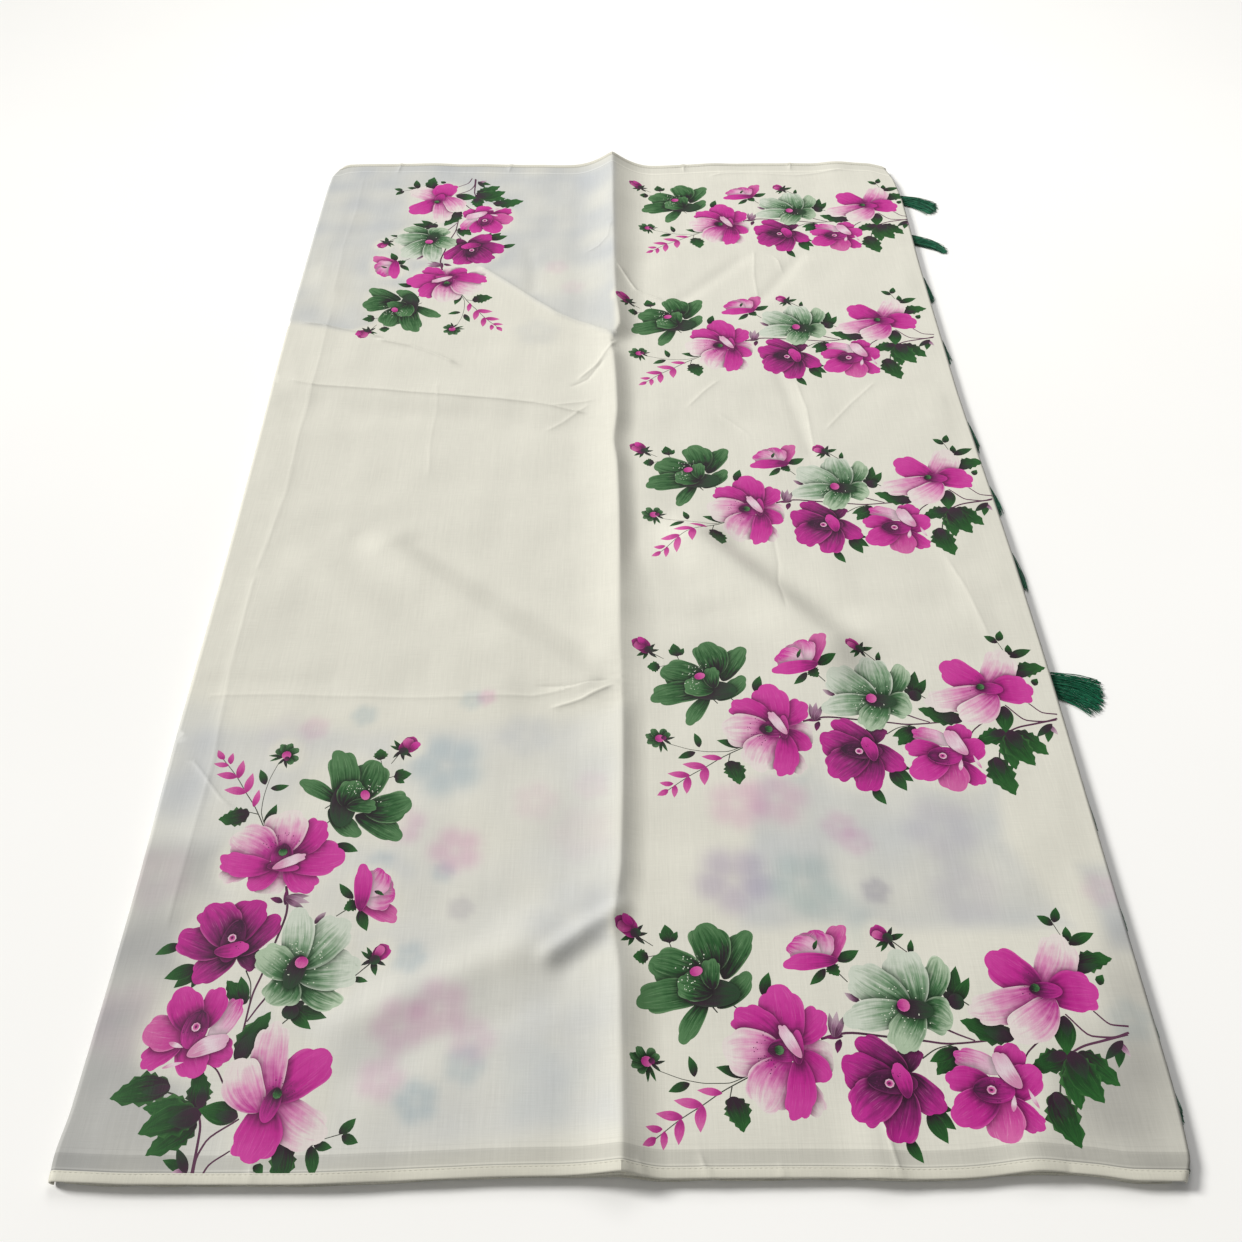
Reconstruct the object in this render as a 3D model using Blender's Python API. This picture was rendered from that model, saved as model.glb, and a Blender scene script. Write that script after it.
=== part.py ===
"""A printed cotton-silk sari, folded to a long flat pad and laid on the floor.

The top layer shows in two stretches that meet at a raised crease: the body stretch on the left, which
wraps round the left fold down to the floor, and the pallu stretch on the right, which rolls over the
right fold. Both have a narrow turned hem along each selvedge. The hidden layers are one rounded solid
with the edges of its leaves showing, and green thread tassels lie along the right fold.

Lengths are millimetres on the folded sari: x runs to the right, y runs away from the viewer from one
selvedge to the other, z is up from the floor. They are turned to metres when each mesh is made.
"""

import math

import bmesh
import bpy
from mathutils import Vector

METRES = 0.001

# Cloth
WALL = 1.2
GAP = 0.3
TOP = 7.8
LAYERS_TOP = TOP - WALL - GAP
HEM_WIDTH = 7.0
HEM_THICKNESS = 0.8

# Rows of faces from the near selvedge to the far one, on a stretch and on the hidden layers, and the
# columns of each: distances from the ridge on a stretch, with even columns from the last one to the
# roll, and shares of the way from the ridge to the side on the layers
STRETCH_ROWS = 46
BODY_COLUMNS = (0.0, 2.5, 7.0, 14.0, 25.0, 42.0)
PALLU_COLUMNS = (0.0, 2.2, 5.5, 10.0, 17.0, 32.0)
EVEN_COLUMNS = 9
LAYER_ROWS = 24
LAYER_FIRST_ROW = 26.0
LAYER_COLUMNS = (0.0, 0.022, 0.055, 0.17, 0.37, 0.58, 0.78, 0.87, 0.94, 1.0)

# The folds at the sides: the radius of each roll, and where its wall ends, in degrees
LEFT_ROLL = {"radius": 3.7, "end": 240.0, "steps": 5, "hem_steps": 3}
RIGHT_ROLL = {"radius": 3.0, "end": -20.0, "steps": 4, "hem_steps": 3}
ROLL_FADE = 22.0

# Outline seen from above. Side rows: y, x. Selvedge rows: x, y.
LEFT_SIDE = (
    (-574.5, -319.5), (-560.0, -320.5), (-533.0, -318.5), (-406.0, -317.5), (-246.0, -320.0),
    (-119.0, -320.5), (86.0, -323.5), (177.0, -325.5), (298.0, -327.0), (500.0, -327.5),
    (544.5, -326.5), (560.0, -322.0), (567.7, -317.0),
)
RIGHT_SIDE = (
    (-574.5, 327.0), (-560.0, 333.0), (-508.6, 335.7), (-369.0, 336.3), (-219.8, 337.0),
    (-85.8, 336.0), (62.0, 332.5), (160.4, 330.5), (341.6, 330.5), (487.6, 332.5),
    (535.8, 330.0), (568.0, 322.5),
)
NEAR_SIDE = (
    (-319.5, -574.5), (-270.0, -576.3), (-186.0, -576.3), (-103.0, -573.5), (-64.0, -572.0),
    (2.0, -571.5), (29.0, -573.1), (124.0, -572.5), (166.0, -573.6), (197.0, -573.1),
    (245.0, -569.5), (276.0, -571.4), (300.0, -574.2), (327.0, -574.5),
)
FAR_SIDE = (
    (-317.0, 567.7), (-307.0, 573.5), (-285.0, 575.5), (-202.0, 574.5), (-131.0, 573.0),
    (-58.0, 571.5), (2.0, 573.5), (58.0, 571.5), (105.0, 574.5), (176.0, 576.0),
    (248.0, 577.5), (300.0, 577.0), (322.5, 568.0),
)

# The raised middle crease: y, x, height, reach of its left slope, reach of its right slope
RIDGE = (
    (-572.0, 6.0, 10.0, 40.0, 22.0), (-540.0, 6.0, 8.5, 38.0, 18.0), (-455.0, 5.0, 8.0, 36.0, 16.0),
    (-417.0, 1.5, 5.0, 34.0, 17.0), (-370.0, 6.0, 8.0, 38.0, 16.0), (-260.0, 8.0, 7.5, 38.0, 16.0),
    (-206.0, 7.5, 5.0, 36.0, 20.0), (-165.0, 6.5, 5.0, 36.0, 20.0), (-130.0, 6.5, 7.5, 38.0, 17.0),
    (-60.0, 6.5, 9.0, 40.0, 17.0), (30.0, 5.0, 9.0, 40.0, 17.0), (65.0, 2.0, 7.0, 38.0, 18.0),
    (110.0, 5.0, 9.5, 40.0, 18.0), (190.0, 2.0, 8.5, 38.0, 18.0), (215.0, -1.0, 6.0, 36.0, 20.0),
    (245.0, 8.0, 10.0, 42.0, 16.0), (300.0, 4.0, 10.5, 42.0, 17.0), (430.0, 2.0, 12.0, 42.0, 18.0),
    (520.0, 1.5, 14.0, 44.0, 26.0), (573.5, 1.5, 16.0, 46.0, 32.0),
)
RIDGE_ROUND = 1.6
LAYERS_RIDGE_HEIGHT = 0.4
LAYERS_RIDGE_REACH = 0.55

# The other large folds, each raised along a path: path of (x, y), height, half width
FOLDS = (
    (((-123, 342), (-52, 276), (12, 226)), 3.2, 13.0),
    (((-330, 262), (-255, 235), (-155, 192)), 2.0, 13.0),
    (((-330, 161), (-173, 136), (-20, 110)), 2.6, 14.0),
    (((-330, 10), (-288, -16), (-190, -36)), 2.0, 14.0),
    (((-156, -64), (-113, -133), (-20, -212)), 3.6, 20.0),
    (((-230, -140), (-150, -205), (-60, -250)), 2.2, 24.0),
    (((-130, -505), (-70, -478), (-5, -440)), 2.4, 20.0),
    (((-180, -420), (-90, -400), (-20, -385)), 1.8, 26.0),
    (((-289, 560), (-287, 200), (-290, -20), (-289, -420)), 1.2, 12.0),
    (((95, -20), (160, -95), (215, -150)), 2.6, 20.0),
    (((40, -75), (110, -140), (160, -190)), 1.8, 18.0),
    (((5, 342), (30, 305), (75, 275)), 2.2, 12.0),
    (((112, 300), (150, 370)), 1.8, 18.0),
    (((100, 585), (150, 540), (230, 515)), 2.0, 18.0),
    (((247, -610), (240, -535)), 3.4, 15.0),
    (((158, -610), (150, -530)), 2.0, 13.0),
    (((282, -60), (288, -170)), 1.6, 14.0),
    (((270, 620), (258, 545)), 2.0, 18.0),
    (((-215, 620), (-205, 555)), 1.6, 20.0),
)

# Edges of the hidden leaves: z, then how far each side of the solid lies inside the outline
LEAVES = (
    (0.0, 2.6, 2.6, 6.0, 8.6), (0.5, 1.2, 1.0, 5.0, 7.8), (1.1, 2.9, 2.8, 4.2, 8.5),
    (1.8, 0.7, 0.9, 3.9, 7.5), (2.5, 2.9, 2.7, 3.1, 8.4), (3.1, 0.5, 0.7, 2.7, 7.5),
    (3.7, 2.8, 2.6, 2.4, 8.2), (4.3, 0.8, 0.5, 2.4, 4.0), (4.9, 2.6, 2.5, 2.5, 2.5),
    (5.6, 0.6, 0.8, 3.0, 2.8), (LAYERS_TOP, 1.4, 1.6, 4.8, 4.2),
)
# The leaf that slips out at the near left corner: its z, how far it comes out, and where it ends
SLIPPED_LEAF = {"low": 2.8, "high": 4.5, "out": 2.6, "from_x": -284.0}

# Tassels that lie out on the floor: y, head width, tip width, length, drift of the tips, strands across
OPEN_TASSELS = (
    (496.0, 21.0, 22.0, 38.0, -21.0, 12),
    (412.0, 18.0, 12.0, 34.0, -22.0, 9),
    (-217.0, 23.0, 30.0, 36.0, -14.0, 13),
)
# Tassels tucked under the roll: y of the head, length, how far the threads stand out past the fold
TUCKED_TASSELS = (
    (350.0, 52.0, 4.2), (242.0, 48.0, 2.6), (112.0, 52.0, 2.8), (22.0, 46.0, 3.0), (-62.0, 52.0, 4.0),
    (-296.0, 48.0, 0.4), (-372.0, 50.0, 0.4), (-448.0, 46.0, 0.6), (-512.0, 30.0, 1.6),
    (-548.0, 24.0, 1.8),
)
TUCKED_ACROSS = 4
STRAND_LAYERS = 2
STRAND_RADIUS = 0.62
STRAND_TIP_RADIUS = 0.34
HEAD_LOW = 0.4
HEAD_HIGH = 3.5
HEAD_BACK = 6.9
HEAD_FRONT = 2.6
TUCKED_HEAD_FRONT = 1.0
TUCKED_HEAD_LENGTH = 5.0

CREAM_CLOTH = (0.73, 0.71, 0.61)
LAYER_CLOTH = (0.64, 0.62, 0.53)
TASSEL_GREEN = (0.006, 0.085, 0.04)


def mix(first, second, share):
    return first + (second - first) * share


def soft_step(share):
    share = min(1.0, max(0.0, share))
    return share * share * (3.0 - 2.0 * share)


def slope_after(table, row, column):
    return (table[row + 1][column] - table[row][column]) / (table[row + 1][0] - table[row][0])


def tangent(table, row, column):
    """The curve's slope at a row: level at a turning point, so that it never overshoots."""
    if row in (0, len(table) - 1):
        return slope_after(table, min(row, len(table) - 2), column)
    before, after = slope_after(table, row - 1, column), slope_after(table, row, column)
    return 0.0 if before * after <= 0.0 else 2.0 * before * after / (before + after)


def read_table(table, place):
    """The other columns of a table at a place in its first column, on a smooth curve through the rows."""
    place = min(table[-1][0], max(table[0][0], place))
    row = max(index for index in range(len(table) - 1) if table[index][0] <= place)
    span = table[row + 1][0] - table[row][0]
    share = (place - table[row][0]) / span
    values = []
    for column in range(1, len(table[0])):
        start, end = table[row][column], table[row + 1][column]
        leave, arrive = tangent(table, row, column) * span, tangent(table, row + 1, column) * span
        bend = share * share * (3.0 - 2.0 * share)
        values.append(
            mix(start, end, bend)
            + leave * share * (1.0 - share) ** 2
            - arrive * share * share * (1.0 - share)
        )
    return values


def side_point(table, share):
    """A point of the left or right side, at a share of the way from the near corner to the far one."""
    y = mix(table[0][0], table[-1][0], share)
    return read_table(table, y)[0], y


def ridge_point(share):
    near, far = RIDGE[0], RIDGE[-1]
    y = mix(read_table(NEAR_SIDE, near[1])[0], read_table(FAR_SIDE, far[1])[0], share)
    return read_table(RIDGE, y)[0], y


def in_patch(outer_side, across, along):
    """A point between one side of the sari and the ridge, by its share across and along.

    The four edges are blended, so each row and column bends with the outline next to it.
    """
    def blended_y(point_a, point_b):
        return mix(point_a[1], point_b[1], across)

    side, ridge = outer_side(along), ridge_point(along)
    near_a, near_b, far_a, far_b = outer_side(0.0), ridge_point(0.0), outer_side(1.0), ridge_point(1.0)
    x = mix(side[0], ridge[0], across)
    near_y = read_table(NEAR_SIDE, mix(near_a[0], near_b[0], across))[0]
    far_y = read_table(FAR_SIDE, mix(far_a[0], far_b[0], across))[0]
    straight = mix(blended_y(near_a, near_b), blended_y(far_a, far_b), along)
    return x, blended_y(side, ridge) + mix(near_y, far_y, along) - straight


def ridge_height(x, y, height_share=1.0, reach_share=1.0):
    ridge_x, height, left_reach, right_reach = read_table(RIDGE, y)
    away = x - ridge_x
    reach = reach_share * (left_reach if away < 0.0 else right_reach)
    rounded = math.sqrt(away * away + RIDGE_ROUND * RIDGE_ROUND) - RIDGE_ROUND
    return height_share * height * max(0.0, 1.0 - rounded / reach) ** 2


def along_path(path, x, y):
    """The distance from a path of points, and the share of the path at the nearest place."""
    lengths = [math.dist(path[i], path[i + 1]) for i in range(len(path) - 1)]
    nearest, share, walked = 1e9, 0.0, 0.0
    for (start, end), length in zip(zip(path, path[1:]), lengths):
        along = (x - start[0]) * (end[0] - start[0]) + (y - start[1]) * (end[1] - start[1])
        along = min(1.0, max(0.0, along / length**2))
        away = math.dist((x, y), (mix(start[0], end[0], along), mix(start[1], end[1], along)))
        if away < nearest:
            nearest, share = away, (walked + along * length) / sum(lengths)
        walked += length
    return nearest, share


def fold_height(x, y):
    """The rise of the other folds, which die away before the rolls at the sides."""
    total = 0.0
    for path, height, half_width in FOLDS:
        away, share = along_path(path, x, y)
        ends = soft_step(share / 0.15 + 0.2) * soft_step((1.0 - share) / 0.15 + 0.2)
        total += height * ends * math.exp(-((away / half_width) ** 2))
    inside_left = x - read_table(LEFT_SIDE, y)[0] - LEFT_ROLL["radius"]
    inside_right = read_table(RIGHT_SIDE, y)[0] - RIGHT_ROLL["radius"] - x
    return total * soft_step(inside_left / ROLL_FADE) * soft_step(inside_right / ROLL_FADE)


def cloth_top(x, y):
    return TOP + ridge_height(x, y) + fold_height(x, y)


def cloth_normal(x, y):
    step = 0.5
    rise_x = (cloth_top(x + step, y) - cloth_top(x - step, y)) / (2.0 * step)
    rise_y = (cloth_top(x, y + step) - cloth_top(x, y - step)) / (2.0 * step)
    return Vector((-rise_x, -rise_y, 1.0)).normalized()


def row_shares(count, first_width):
    """Shares along the sari for its rows, with a narrow row for the hem at each end."""
    length = LEFT_SIDE[-1][0] - LEFT_SIDE[0][0]
    hem = first_width / length
    middle = [mix(hem, 1.0 - hem, index / (count - 3)) for index in range(count - 2)]
    return [0.0] + middle + [1.0]


def stretch_rows(side_table, roll, outward, ridge_columns):
    """Outer points and normals of one stretch: a list for each row, from the ridge out round its roll.

    outward is -1 for the left stretch and 1 for the right one.
    """
    def roll_start(share):
        x, y = side_point(side_table, share)
        return x - outward * roll["radius"], y

    rows = []
    for along in row_shares(STRETCH_ROWS, HEM_WIDTH):
        width = abs(roll_start(along)[0] - ridge_point(along)[0])
        distances = list(ridge_columns)
        for index in range(EVEN_COLUMNS):
            distances.append(mix(ridge_columns[-1], width, (index + 1) / EVEN_COLUMNS))
        row = []
        for distance in distances:
            x, y = in_patch(roll_start, 1.0 - distance / width, along)
            beside_ridge = outward * GAP / 2.0 if distance == 0.0 else 0.0
            normal = Vector((0.0, 0.0, 1.0)) if distance == 0.0 else cloth_normal(x, y)
            row.append((Vector((x + beside_ridge, y, cloth_top(x, y))), normal))
        start = row[-1][0]
        row[-1] = (start, Vector((0.0, 0.0, 1.0)))
        centre = start - Vector((0.0, 0.0, roll["radius"]))
        for step in range(1, roll["steps"] + 1):
            angle = math.radians(mix(90.0, roll["end"], step / roll["steps"]))
            normal = Vector((math.cos(angle), 0.0, math.sin(angle)))
            row.append((centre + normal * roll["radius"], normal))
        rows.append(row)
    return rows


def wall_shape(rows, inner_offset, outer_offset):
    """A closed wall over a grid of points and normals, between two offsets along the normals."""
    points, faces = [], []
    columns = len(rows[0])
    for row in rows:
        points += [point + normal * outer_offset for point, normal in row]
        points += [point + normal * inner_offset for point, normal in row]

    def outer(row, column):
        return row * 2 * columns + column

    def inner(row, column):
        return outer(row, column) + columns

    def quad(a, b, c, d):
        faces.extend(((a, b, c), (a, c, d)))

    last_row, last_column = len(rows) - 1, columns - 1
    for row in range(last_row):
        for column in range(last_column):
            for skin in (outer, inner):
                quad(
                    skin(row, column), skin(row, column + 1),
                    skin(row + 1, column + 1), skin(row + 1, column),
                )
        for column in (0, last_column):
            quad(
                outer(row, column), inner(row, column),
                inner(row + 1, column), outer(row + 1, column),
            )
    for row in (0, last_row):
        for column in range(last_column):
            quad(
                outer(row, column), inner(row, column),
                inner(row, column + 1), outer(row, column + 1),
            )
    return points, faces


def hem_rows(rows, roll, at_far_end):
    """The outer points of a stretch under its hem: its first or last two rows, round part of the roll."""
    columns = len(rows[0]) - roll["steps"] + roll["hem_steps"]
    pair = rows[-2:] if at_far_end else rows[:2]
    return [row[:columns] for row in pair]


def leaf_point(level, across, along):
    """A point of the hidden layers' outline at one level. across runs -1 to 0 to 1, by way of the ridge."""
    z, near_in, far_in, left_in, right_in = level
    table = LEFT_SIDE if across < 0.0 else RIGHT_SIDE
    x, y = in_patch(lambda share: side_point(table, share), 1.0 - abs(across), along)
    slipped = SLIPPED_LEAF["low"] < z < SLIPPED_LEAF["high"] and x < SLIPPED_LEAF["from_x"]
    if slipped and along == 0.0:
        near_in = -SLIPPED_LEAF["out"]
    # The insets act at the sides, and fade quickly towards the middle.
    x += (left_in if across < 0.0 else -right_in) * across**2
    y += near_in * (1.0 - along) ** 4 - far_in * along**4
    tent = ridge_height(x, y, LAYERS_RIDGE_HEIGHT, LAYERS_RIDGE_REACH) * (z / LAYERS_TOP) ** 2
    return Vector((x, y, z + tent))


def layers_shape():
    """The hidden layers: a stack of outlines with a gridded top that tents under the ridge."""
    across = [-share for share in reversed(LAYER_COLUMNS)] + list(LAYER_COLUMNS[1:])
    along = row_shares(LAYER_ROWS, LAYER_FIRST_ROW)
    last_across, last_along = len(across) - 1, len(along) - 1
    loop = [(column, 0) for column in range(last_across)]
    loop += [(last_across, row) for row in range(last_along)]
    loop += [(column, last_along) for column in range(last_across, 0, -1)]
    loop += [(0, row) for row in range(last_along, 0, -1)]

    points, faces, place = [], [], {}
    for level_index, level in enumerate(LEAVES):
        for column, row in loop:
            place[level_index, column, row] = len(points)
            points.append(leaf_point(level, across[column], along[row]))
    top = len(LEAVES) - 1
    for row in range(1, last_along):
        for column in range(1, last_across):
            place[top, column, row] = len(points)
            points.append(leaf_point(LEAVES[-1], across[column], along[row]))

    for level_index in range(top):
        for (column_a, row_a), (column_b, row_b) in zip(loop, loop[1:] + loop[:1]):
            low_a, low_b = place[level_index, column_a, row_a], place[level_index, column_b, row_b]
            high_a = place[level_index + 1, column_a, row_a]
            high_b = place[level_index + 1, column_b, row_b]
            faces += [(low_a, low_b, high_b), (low_a, high_b, high_a)]
    for row in range(last_along):
        for column in range(last_across):
            corners = ((column, row), (column + 1, row), (column + 1, row + 1), (column, row + 1))
            a, b, c, d = (place[(top, *corner)] for corner in corners)
            faces += [(a, b, c), (a, c, d)]
    faces.append(tuple(place[(0, *corner)] for corner in reversed(loop)))
    return points, faces


def tassel_shape(across_count, head_point, strand_path):
    """A flat tassel: a head whose front is a grid of cells, and one three-sided strand from each cell.

    head_point gives a point of the head by its share across, up and back. strand_path gives the centre
    line of a strand, from the middle of its cell to its tip.
    """
    points, faces = [], []
    up_count = STRAND_LAYERS

    def add(point):
        points.append(Vector(point))
        return len(points) - 1

    front = {
        (i, j): add(head_point(i / across_count, j / up_count, 0.0))
        for i in range(across_count + 1) for j in range(up_count + 1)
    }
    rim = [(i, 0) for i in range(across_count)] + [(across_count, j) for j in range(up_count)]
    rim += [(i, up_count) for i in range(across_count, 0, -1)] + [(0, j) for j in range(up_count, 0, -1)]
    back = {key: add(head_point(key[0] / across_count, key[1] / up_count, 1.0)) for key in rim}
    for first, second in zip(rim, rim[1:] + rim[:1]):
        faces += [(front[first], back[first], back[second]), (front[first], back[second], front[second])]
    faces.append(tuple(back[key] for key in rim))

    for i in range(across_count):
        for j in range(up_count):
            path = [Vector(point) for point in strand_path((i + 0.5) / across_count, j)]
            direction = (path[-1] - path[0]).normalized()
            sideways = direction.cross(Vector((0.0, 0.0, 1.0))).normalized()
            rings = []
            for step, centre in enumerate(path[:-1]):
                radius = mix(STRAND_RADIUS, STRAND_TIP_RADIUS, step / (len(path) - 1))
                low_left = centre - sideways * radius * 0.87 - Vector((0.0, 0.0, radius * 0.5))
                low_right = centre + sideways * radius * 0.87 - Vector((0.0, 0.0, radius * 0.5))
                peak = centre + Vector((0.0, 0.0, radius))
                rings.append([add(low_left), add(low_right), add(peak)])
            tip = add(path[-1])
            first_ring = rings[0]
            corner = [front[i, j], front[i + 1, j], front[i + 1, j + 1], front[i, j + 1]]
            facing = (Vector(points[corner[1]]) - Vector(points[corner[0]])).dot(sideways)
            if facing < 0.0:
                corner = [corner[1], corner[0], corner[3], corner[2]]
            low_left, low_right, peak = first_ring
            faces += [
                (corner[0], corner[1], low_right, low_left), (corner[1], corner[2], peak, low_right),
                (corner[2], corner[3], peak), (corner[3], corner[0], low_left, peak),
            ]
            for ring, following in zip(rings, rings[1:]):
                for side in range(3):
                    after = (side + 1) % 3
                    faces.append((ring[side], ring[after], following[after], following[side]))
            for side in range(3):
                faces.append((rings[-1][side], rings[-1][(side + 1) % 3], tip))
    return points, faces


def open_tassel(y, head_width, tip_width, length, drift, across_count):
    """A tassel that fans out over the floor from under the right fold."""
    fold_x = read_table(RIGHT_SIDE, y)[0]

    def head_point(across, up, back):
        return (
            fold_x - mix(HEAD_FRONT, HEAD_BACK, back),
            y + (across - 0.5) * head_width * mix(1.0, 0.8, back),
            mix(HEAD_LOW, HEAD_HIGH, up),
        )

    def strand_path(across, layer):
        start_z = mix(HEAD_LOW, HEAD_HIGH, (layer + 0.5) / STRAND_LAYERS)
        bow = math.sin(across * 37.0 + layer * 11.0)
        reach = length * (1.0 + 0.05 * bow)
        path = []
        for share in (0.0, 0.3, 0.65, 1.0):
            width = mix(head_width, tip_width, share)
            side = (across - 0.5) * width + drift * share**1.3
            lift = mix(start_z, 1.0 + 1.7 * layer, share) + 0.5 * layer * math.sin(share * math.pi)
            path.append((fold_x - HEAD_FRONT + (reach + HEAD_FRONT) * share, y + side, lift))
        return path

    return tassel_shape(across_count, head_point, strand_path)


def tucked_tassel(y, length, stand_out):
    """A tassel that lies along the right fold, with its threads towards the near end."""
    def head_point(across, up, back):
        fold_x = read_table(RIGHT_SIDE, y)[0]
        return (
            fold_x - mix(HEAD_BACK, TUCKED_HEAD_FRONT, across),
            y + TUCKED_HEAD_LENGTH * back,
            mix(HEAD_LOW, HEAD_HIGH, up),
        )

    def strand_path(across, layer):
        path = [head_point(across, (layer + 0.5) / STRAND_LAYERS, 0.0)]
        start_z = path[0][2]
        for share in (0.5, 1.0):
            at_y = y - length * share
            fold_x = read_table(RIGHT_SIDE, at_y)[0]
            spread_x = fold_x + mix(1.0 - HEAD_BACK, stand_out, across)
            path.append((spread_x, at_y, mix(start_z, 0.9 + 1.5 * layer, share)))
        return path

    return tassel_shape(TUCKED_ACROSS, head_point, strand_path)


def cloth_material(name, colour, roughness):
    material = bpy.data.materials.new(name)
    material.use_nodes = True
    shader = material.node_tree.nodes["Principled BSDF"]
    shader.inputs["Base Color"].default_value = (*colour, 1.0)
    shader.inputs["Roughness"].default_value = roughness
    shader.inputs["Metallic"].default_value = 0.0
    material.diffuse_color = (*colour, 1.0)
    return material


def make_object(name, shape, origin, material):
    """A mesh object in metres, placed with the part's origin at the middle of its floor outline."""
    points, faces = shape
    shell = bmesh.new()
    vertices = [shell.verts.new((point - origin) * METRES) for point in points]
    for face in faces:
        shell.faces.new([vertices[index] for index in face])
    bmesh.ops.recalc_face_normals(shell, faces=shell.faces)
    bmesh.ops.triangulate(shell, faces=[face for face in shell.faces if len(face.verts) > 3])
    mesh = bpy.data.meshes.new(name)
    shell.to_mesh(mesh)
    shell.free()
    mesh.shade_smooth()
    mesh.set_sharp_from_angle(angle=math.radians(50.0))
    mesh.materials.append(material)
    sub_part = bpy.data.objects.new(name, mesh)
    bpy.context.scene.collection.objects.link(sub_part)


def sari_shapes():
    """Each sub-part's points and faces by name, with the name of its material."""
    body = stretch_rows(LEFT_SIDE, LEFT_ROLL, -1.0, BODY_COLUMNS)
    pallu = stretch_rows(RIGHT_SIDE, RIGHT_ROLL, 1.0, PALLU_COLUMNS)
    shapes = {
        "folded_layers": (layers_shape(), "layers"),
        "body_stretch": (wall_shape(body, -WALL, 0.0), "cloth"),
        "pallu_stretch": (wall_shape(pallu, -WALL, 0.0), "cloth"),
    }
    for stretch_name, rows, roll in (("body", body, LEFT_ROLL), ("pallu", pallu, RIGHT_ROLL)):
        for end_name, at_far_end in (("near", False), ("far", True)):
            strip = hem_rows(rows, roll, at_far_end)
            wall = wall_shape(strip, GAP, GAP + HEM_THICKNESS)
            shapes[f"{end_name}_hem_{stretch_name}"] = (wall, "cloth")
    for number, row in enumerate(OPEN_TASSELS, 1):
        shapes[f"open_tassel_{number}"] = (open_tassel(*row), "tassel")
    for number, row in enumerate(TUCKED_TASSELS, 1):
        shapes[f"tucked_tassel_{number}"] = (tucked_tassel(*row), "tassel")
    return shapes


def build_sari():
    for old in list(bpy.data.objects):
        bpy.data.objects.remove(old)
    materials = {
        "cloth": cloth_material("printed_cloth", CREAM_CLOTH, 0.7),
        "layers": cloth_material("hidden_layers", LAYER_CLOTH, 0.8),
        "tassel": cloth_material("tassel_thread", TASSEL_GREEN, 0.45),
    }
    shapes = sari_shapes()
    everything = [point for (points, _), _ in shapes.values() for point in points]
    middle = [
        (min(point[axis] for point in everything) + max(point[axis] for point in everything)) / 2.0
        for axis in (0, 1)
    ]
    origin = Vector((*middle, 0.0))
    for name, (shape, material_name) in shapes.items():
        make_object(name, shape, origin, materials[material_name])


build_sari()
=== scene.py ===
"""Looks of a folded sari with floral sprays and green tassels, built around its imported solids.

Lengths are millimetres on the folded sari, unless a name says metres: x runs to the right of the middle,
y away from the viewer from the middle of the length, and z up from the floor.
"""

import math
import random

import bpy
import numpy as np
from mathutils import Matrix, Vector
from mathutils.geometry import delaunay_2d_cdt


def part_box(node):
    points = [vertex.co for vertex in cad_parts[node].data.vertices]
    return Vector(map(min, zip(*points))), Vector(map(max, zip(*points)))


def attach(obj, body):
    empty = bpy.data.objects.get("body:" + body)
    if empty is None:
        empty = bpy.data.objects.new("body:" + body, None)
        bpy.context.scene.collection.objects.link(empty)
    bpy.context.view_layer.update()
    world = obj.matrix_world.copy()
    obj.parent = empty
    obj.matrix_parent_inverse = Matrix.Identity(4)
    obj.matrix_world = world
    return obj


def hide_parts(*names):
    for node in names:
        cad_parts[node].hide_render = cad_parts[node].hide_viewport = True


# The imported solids. The folded sari's own middle lies left of the part's origin, because the tassels
# stick out at the right, so its place is found from the left fold and the near edge of one stretch.
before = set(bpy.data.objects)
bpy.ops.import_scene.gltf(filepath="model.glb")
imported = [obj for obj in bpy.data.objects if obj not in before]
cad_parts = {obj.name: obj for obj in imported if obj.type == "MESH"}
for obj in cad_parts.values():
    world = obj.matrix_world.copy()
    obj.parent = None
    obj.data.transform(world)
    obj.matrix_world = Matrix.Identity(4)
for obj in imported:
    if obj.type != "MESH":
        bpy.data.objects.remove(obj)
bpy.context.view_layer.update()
METRES = 0.001
LEFT_FOLD_X = -327.5
NEAR_EDGE_Y = -576.3
stretch_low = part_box("body_stretch")[0]
origin = Vector((stretch_low.x / METRES - LEFT_FOLD_X, stretch_low.y / METRES - NEAR_EDGE_Y, 0.0))


def in_part(points):
    """Points in millimetres on the sari, as metres in the part's own frame."""
    return (np.asarray(points, float) + np.array(origin)) * METRES


# Camera: held above the near end and tilted 48 degrees down, with a field of view as wide as a phone's.
# The sari's own long lines meet a little left of the picture's middle, which the lens shift gives.
CAMERA_PLACE = (0.0, -806.6, 743.0)
CAMERA_TILT = 48.22
SENSOR_WIDTH = 36.0
FOCAL_LENGTH = 36.0
PHOTO_SIDE_PIXELS = 1242
LEFT_OF_MIDDLE_PIXELS = 10


def add_object(name, data):
    """A new object in the scene that holds this data."""
    made = bpy.data.objects.new(name, data)
    bpy.context.scene.collection.objects.link(made)
    return made


camera_data = bpy.data.cameras.new("view")
camera_data.sensor_width = SENSOR_WIDTH
camera_data.lens = FOCAL_LENGTH
camera_data.shift_x = LEFT_OF_MIDDLE_PIXELS / PHOTO_SIDE_PIXELS
camera_data.clip_start = 0.01
camera = add_object("view", camera_data)
camera.location = in_part(CAMERA_PLACE)
camera.rotation_euler = (math.radians(90.0 - CAMERA_TILT), 0.0, 0.0)
bpy.context.scene.camera = camera


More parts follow.
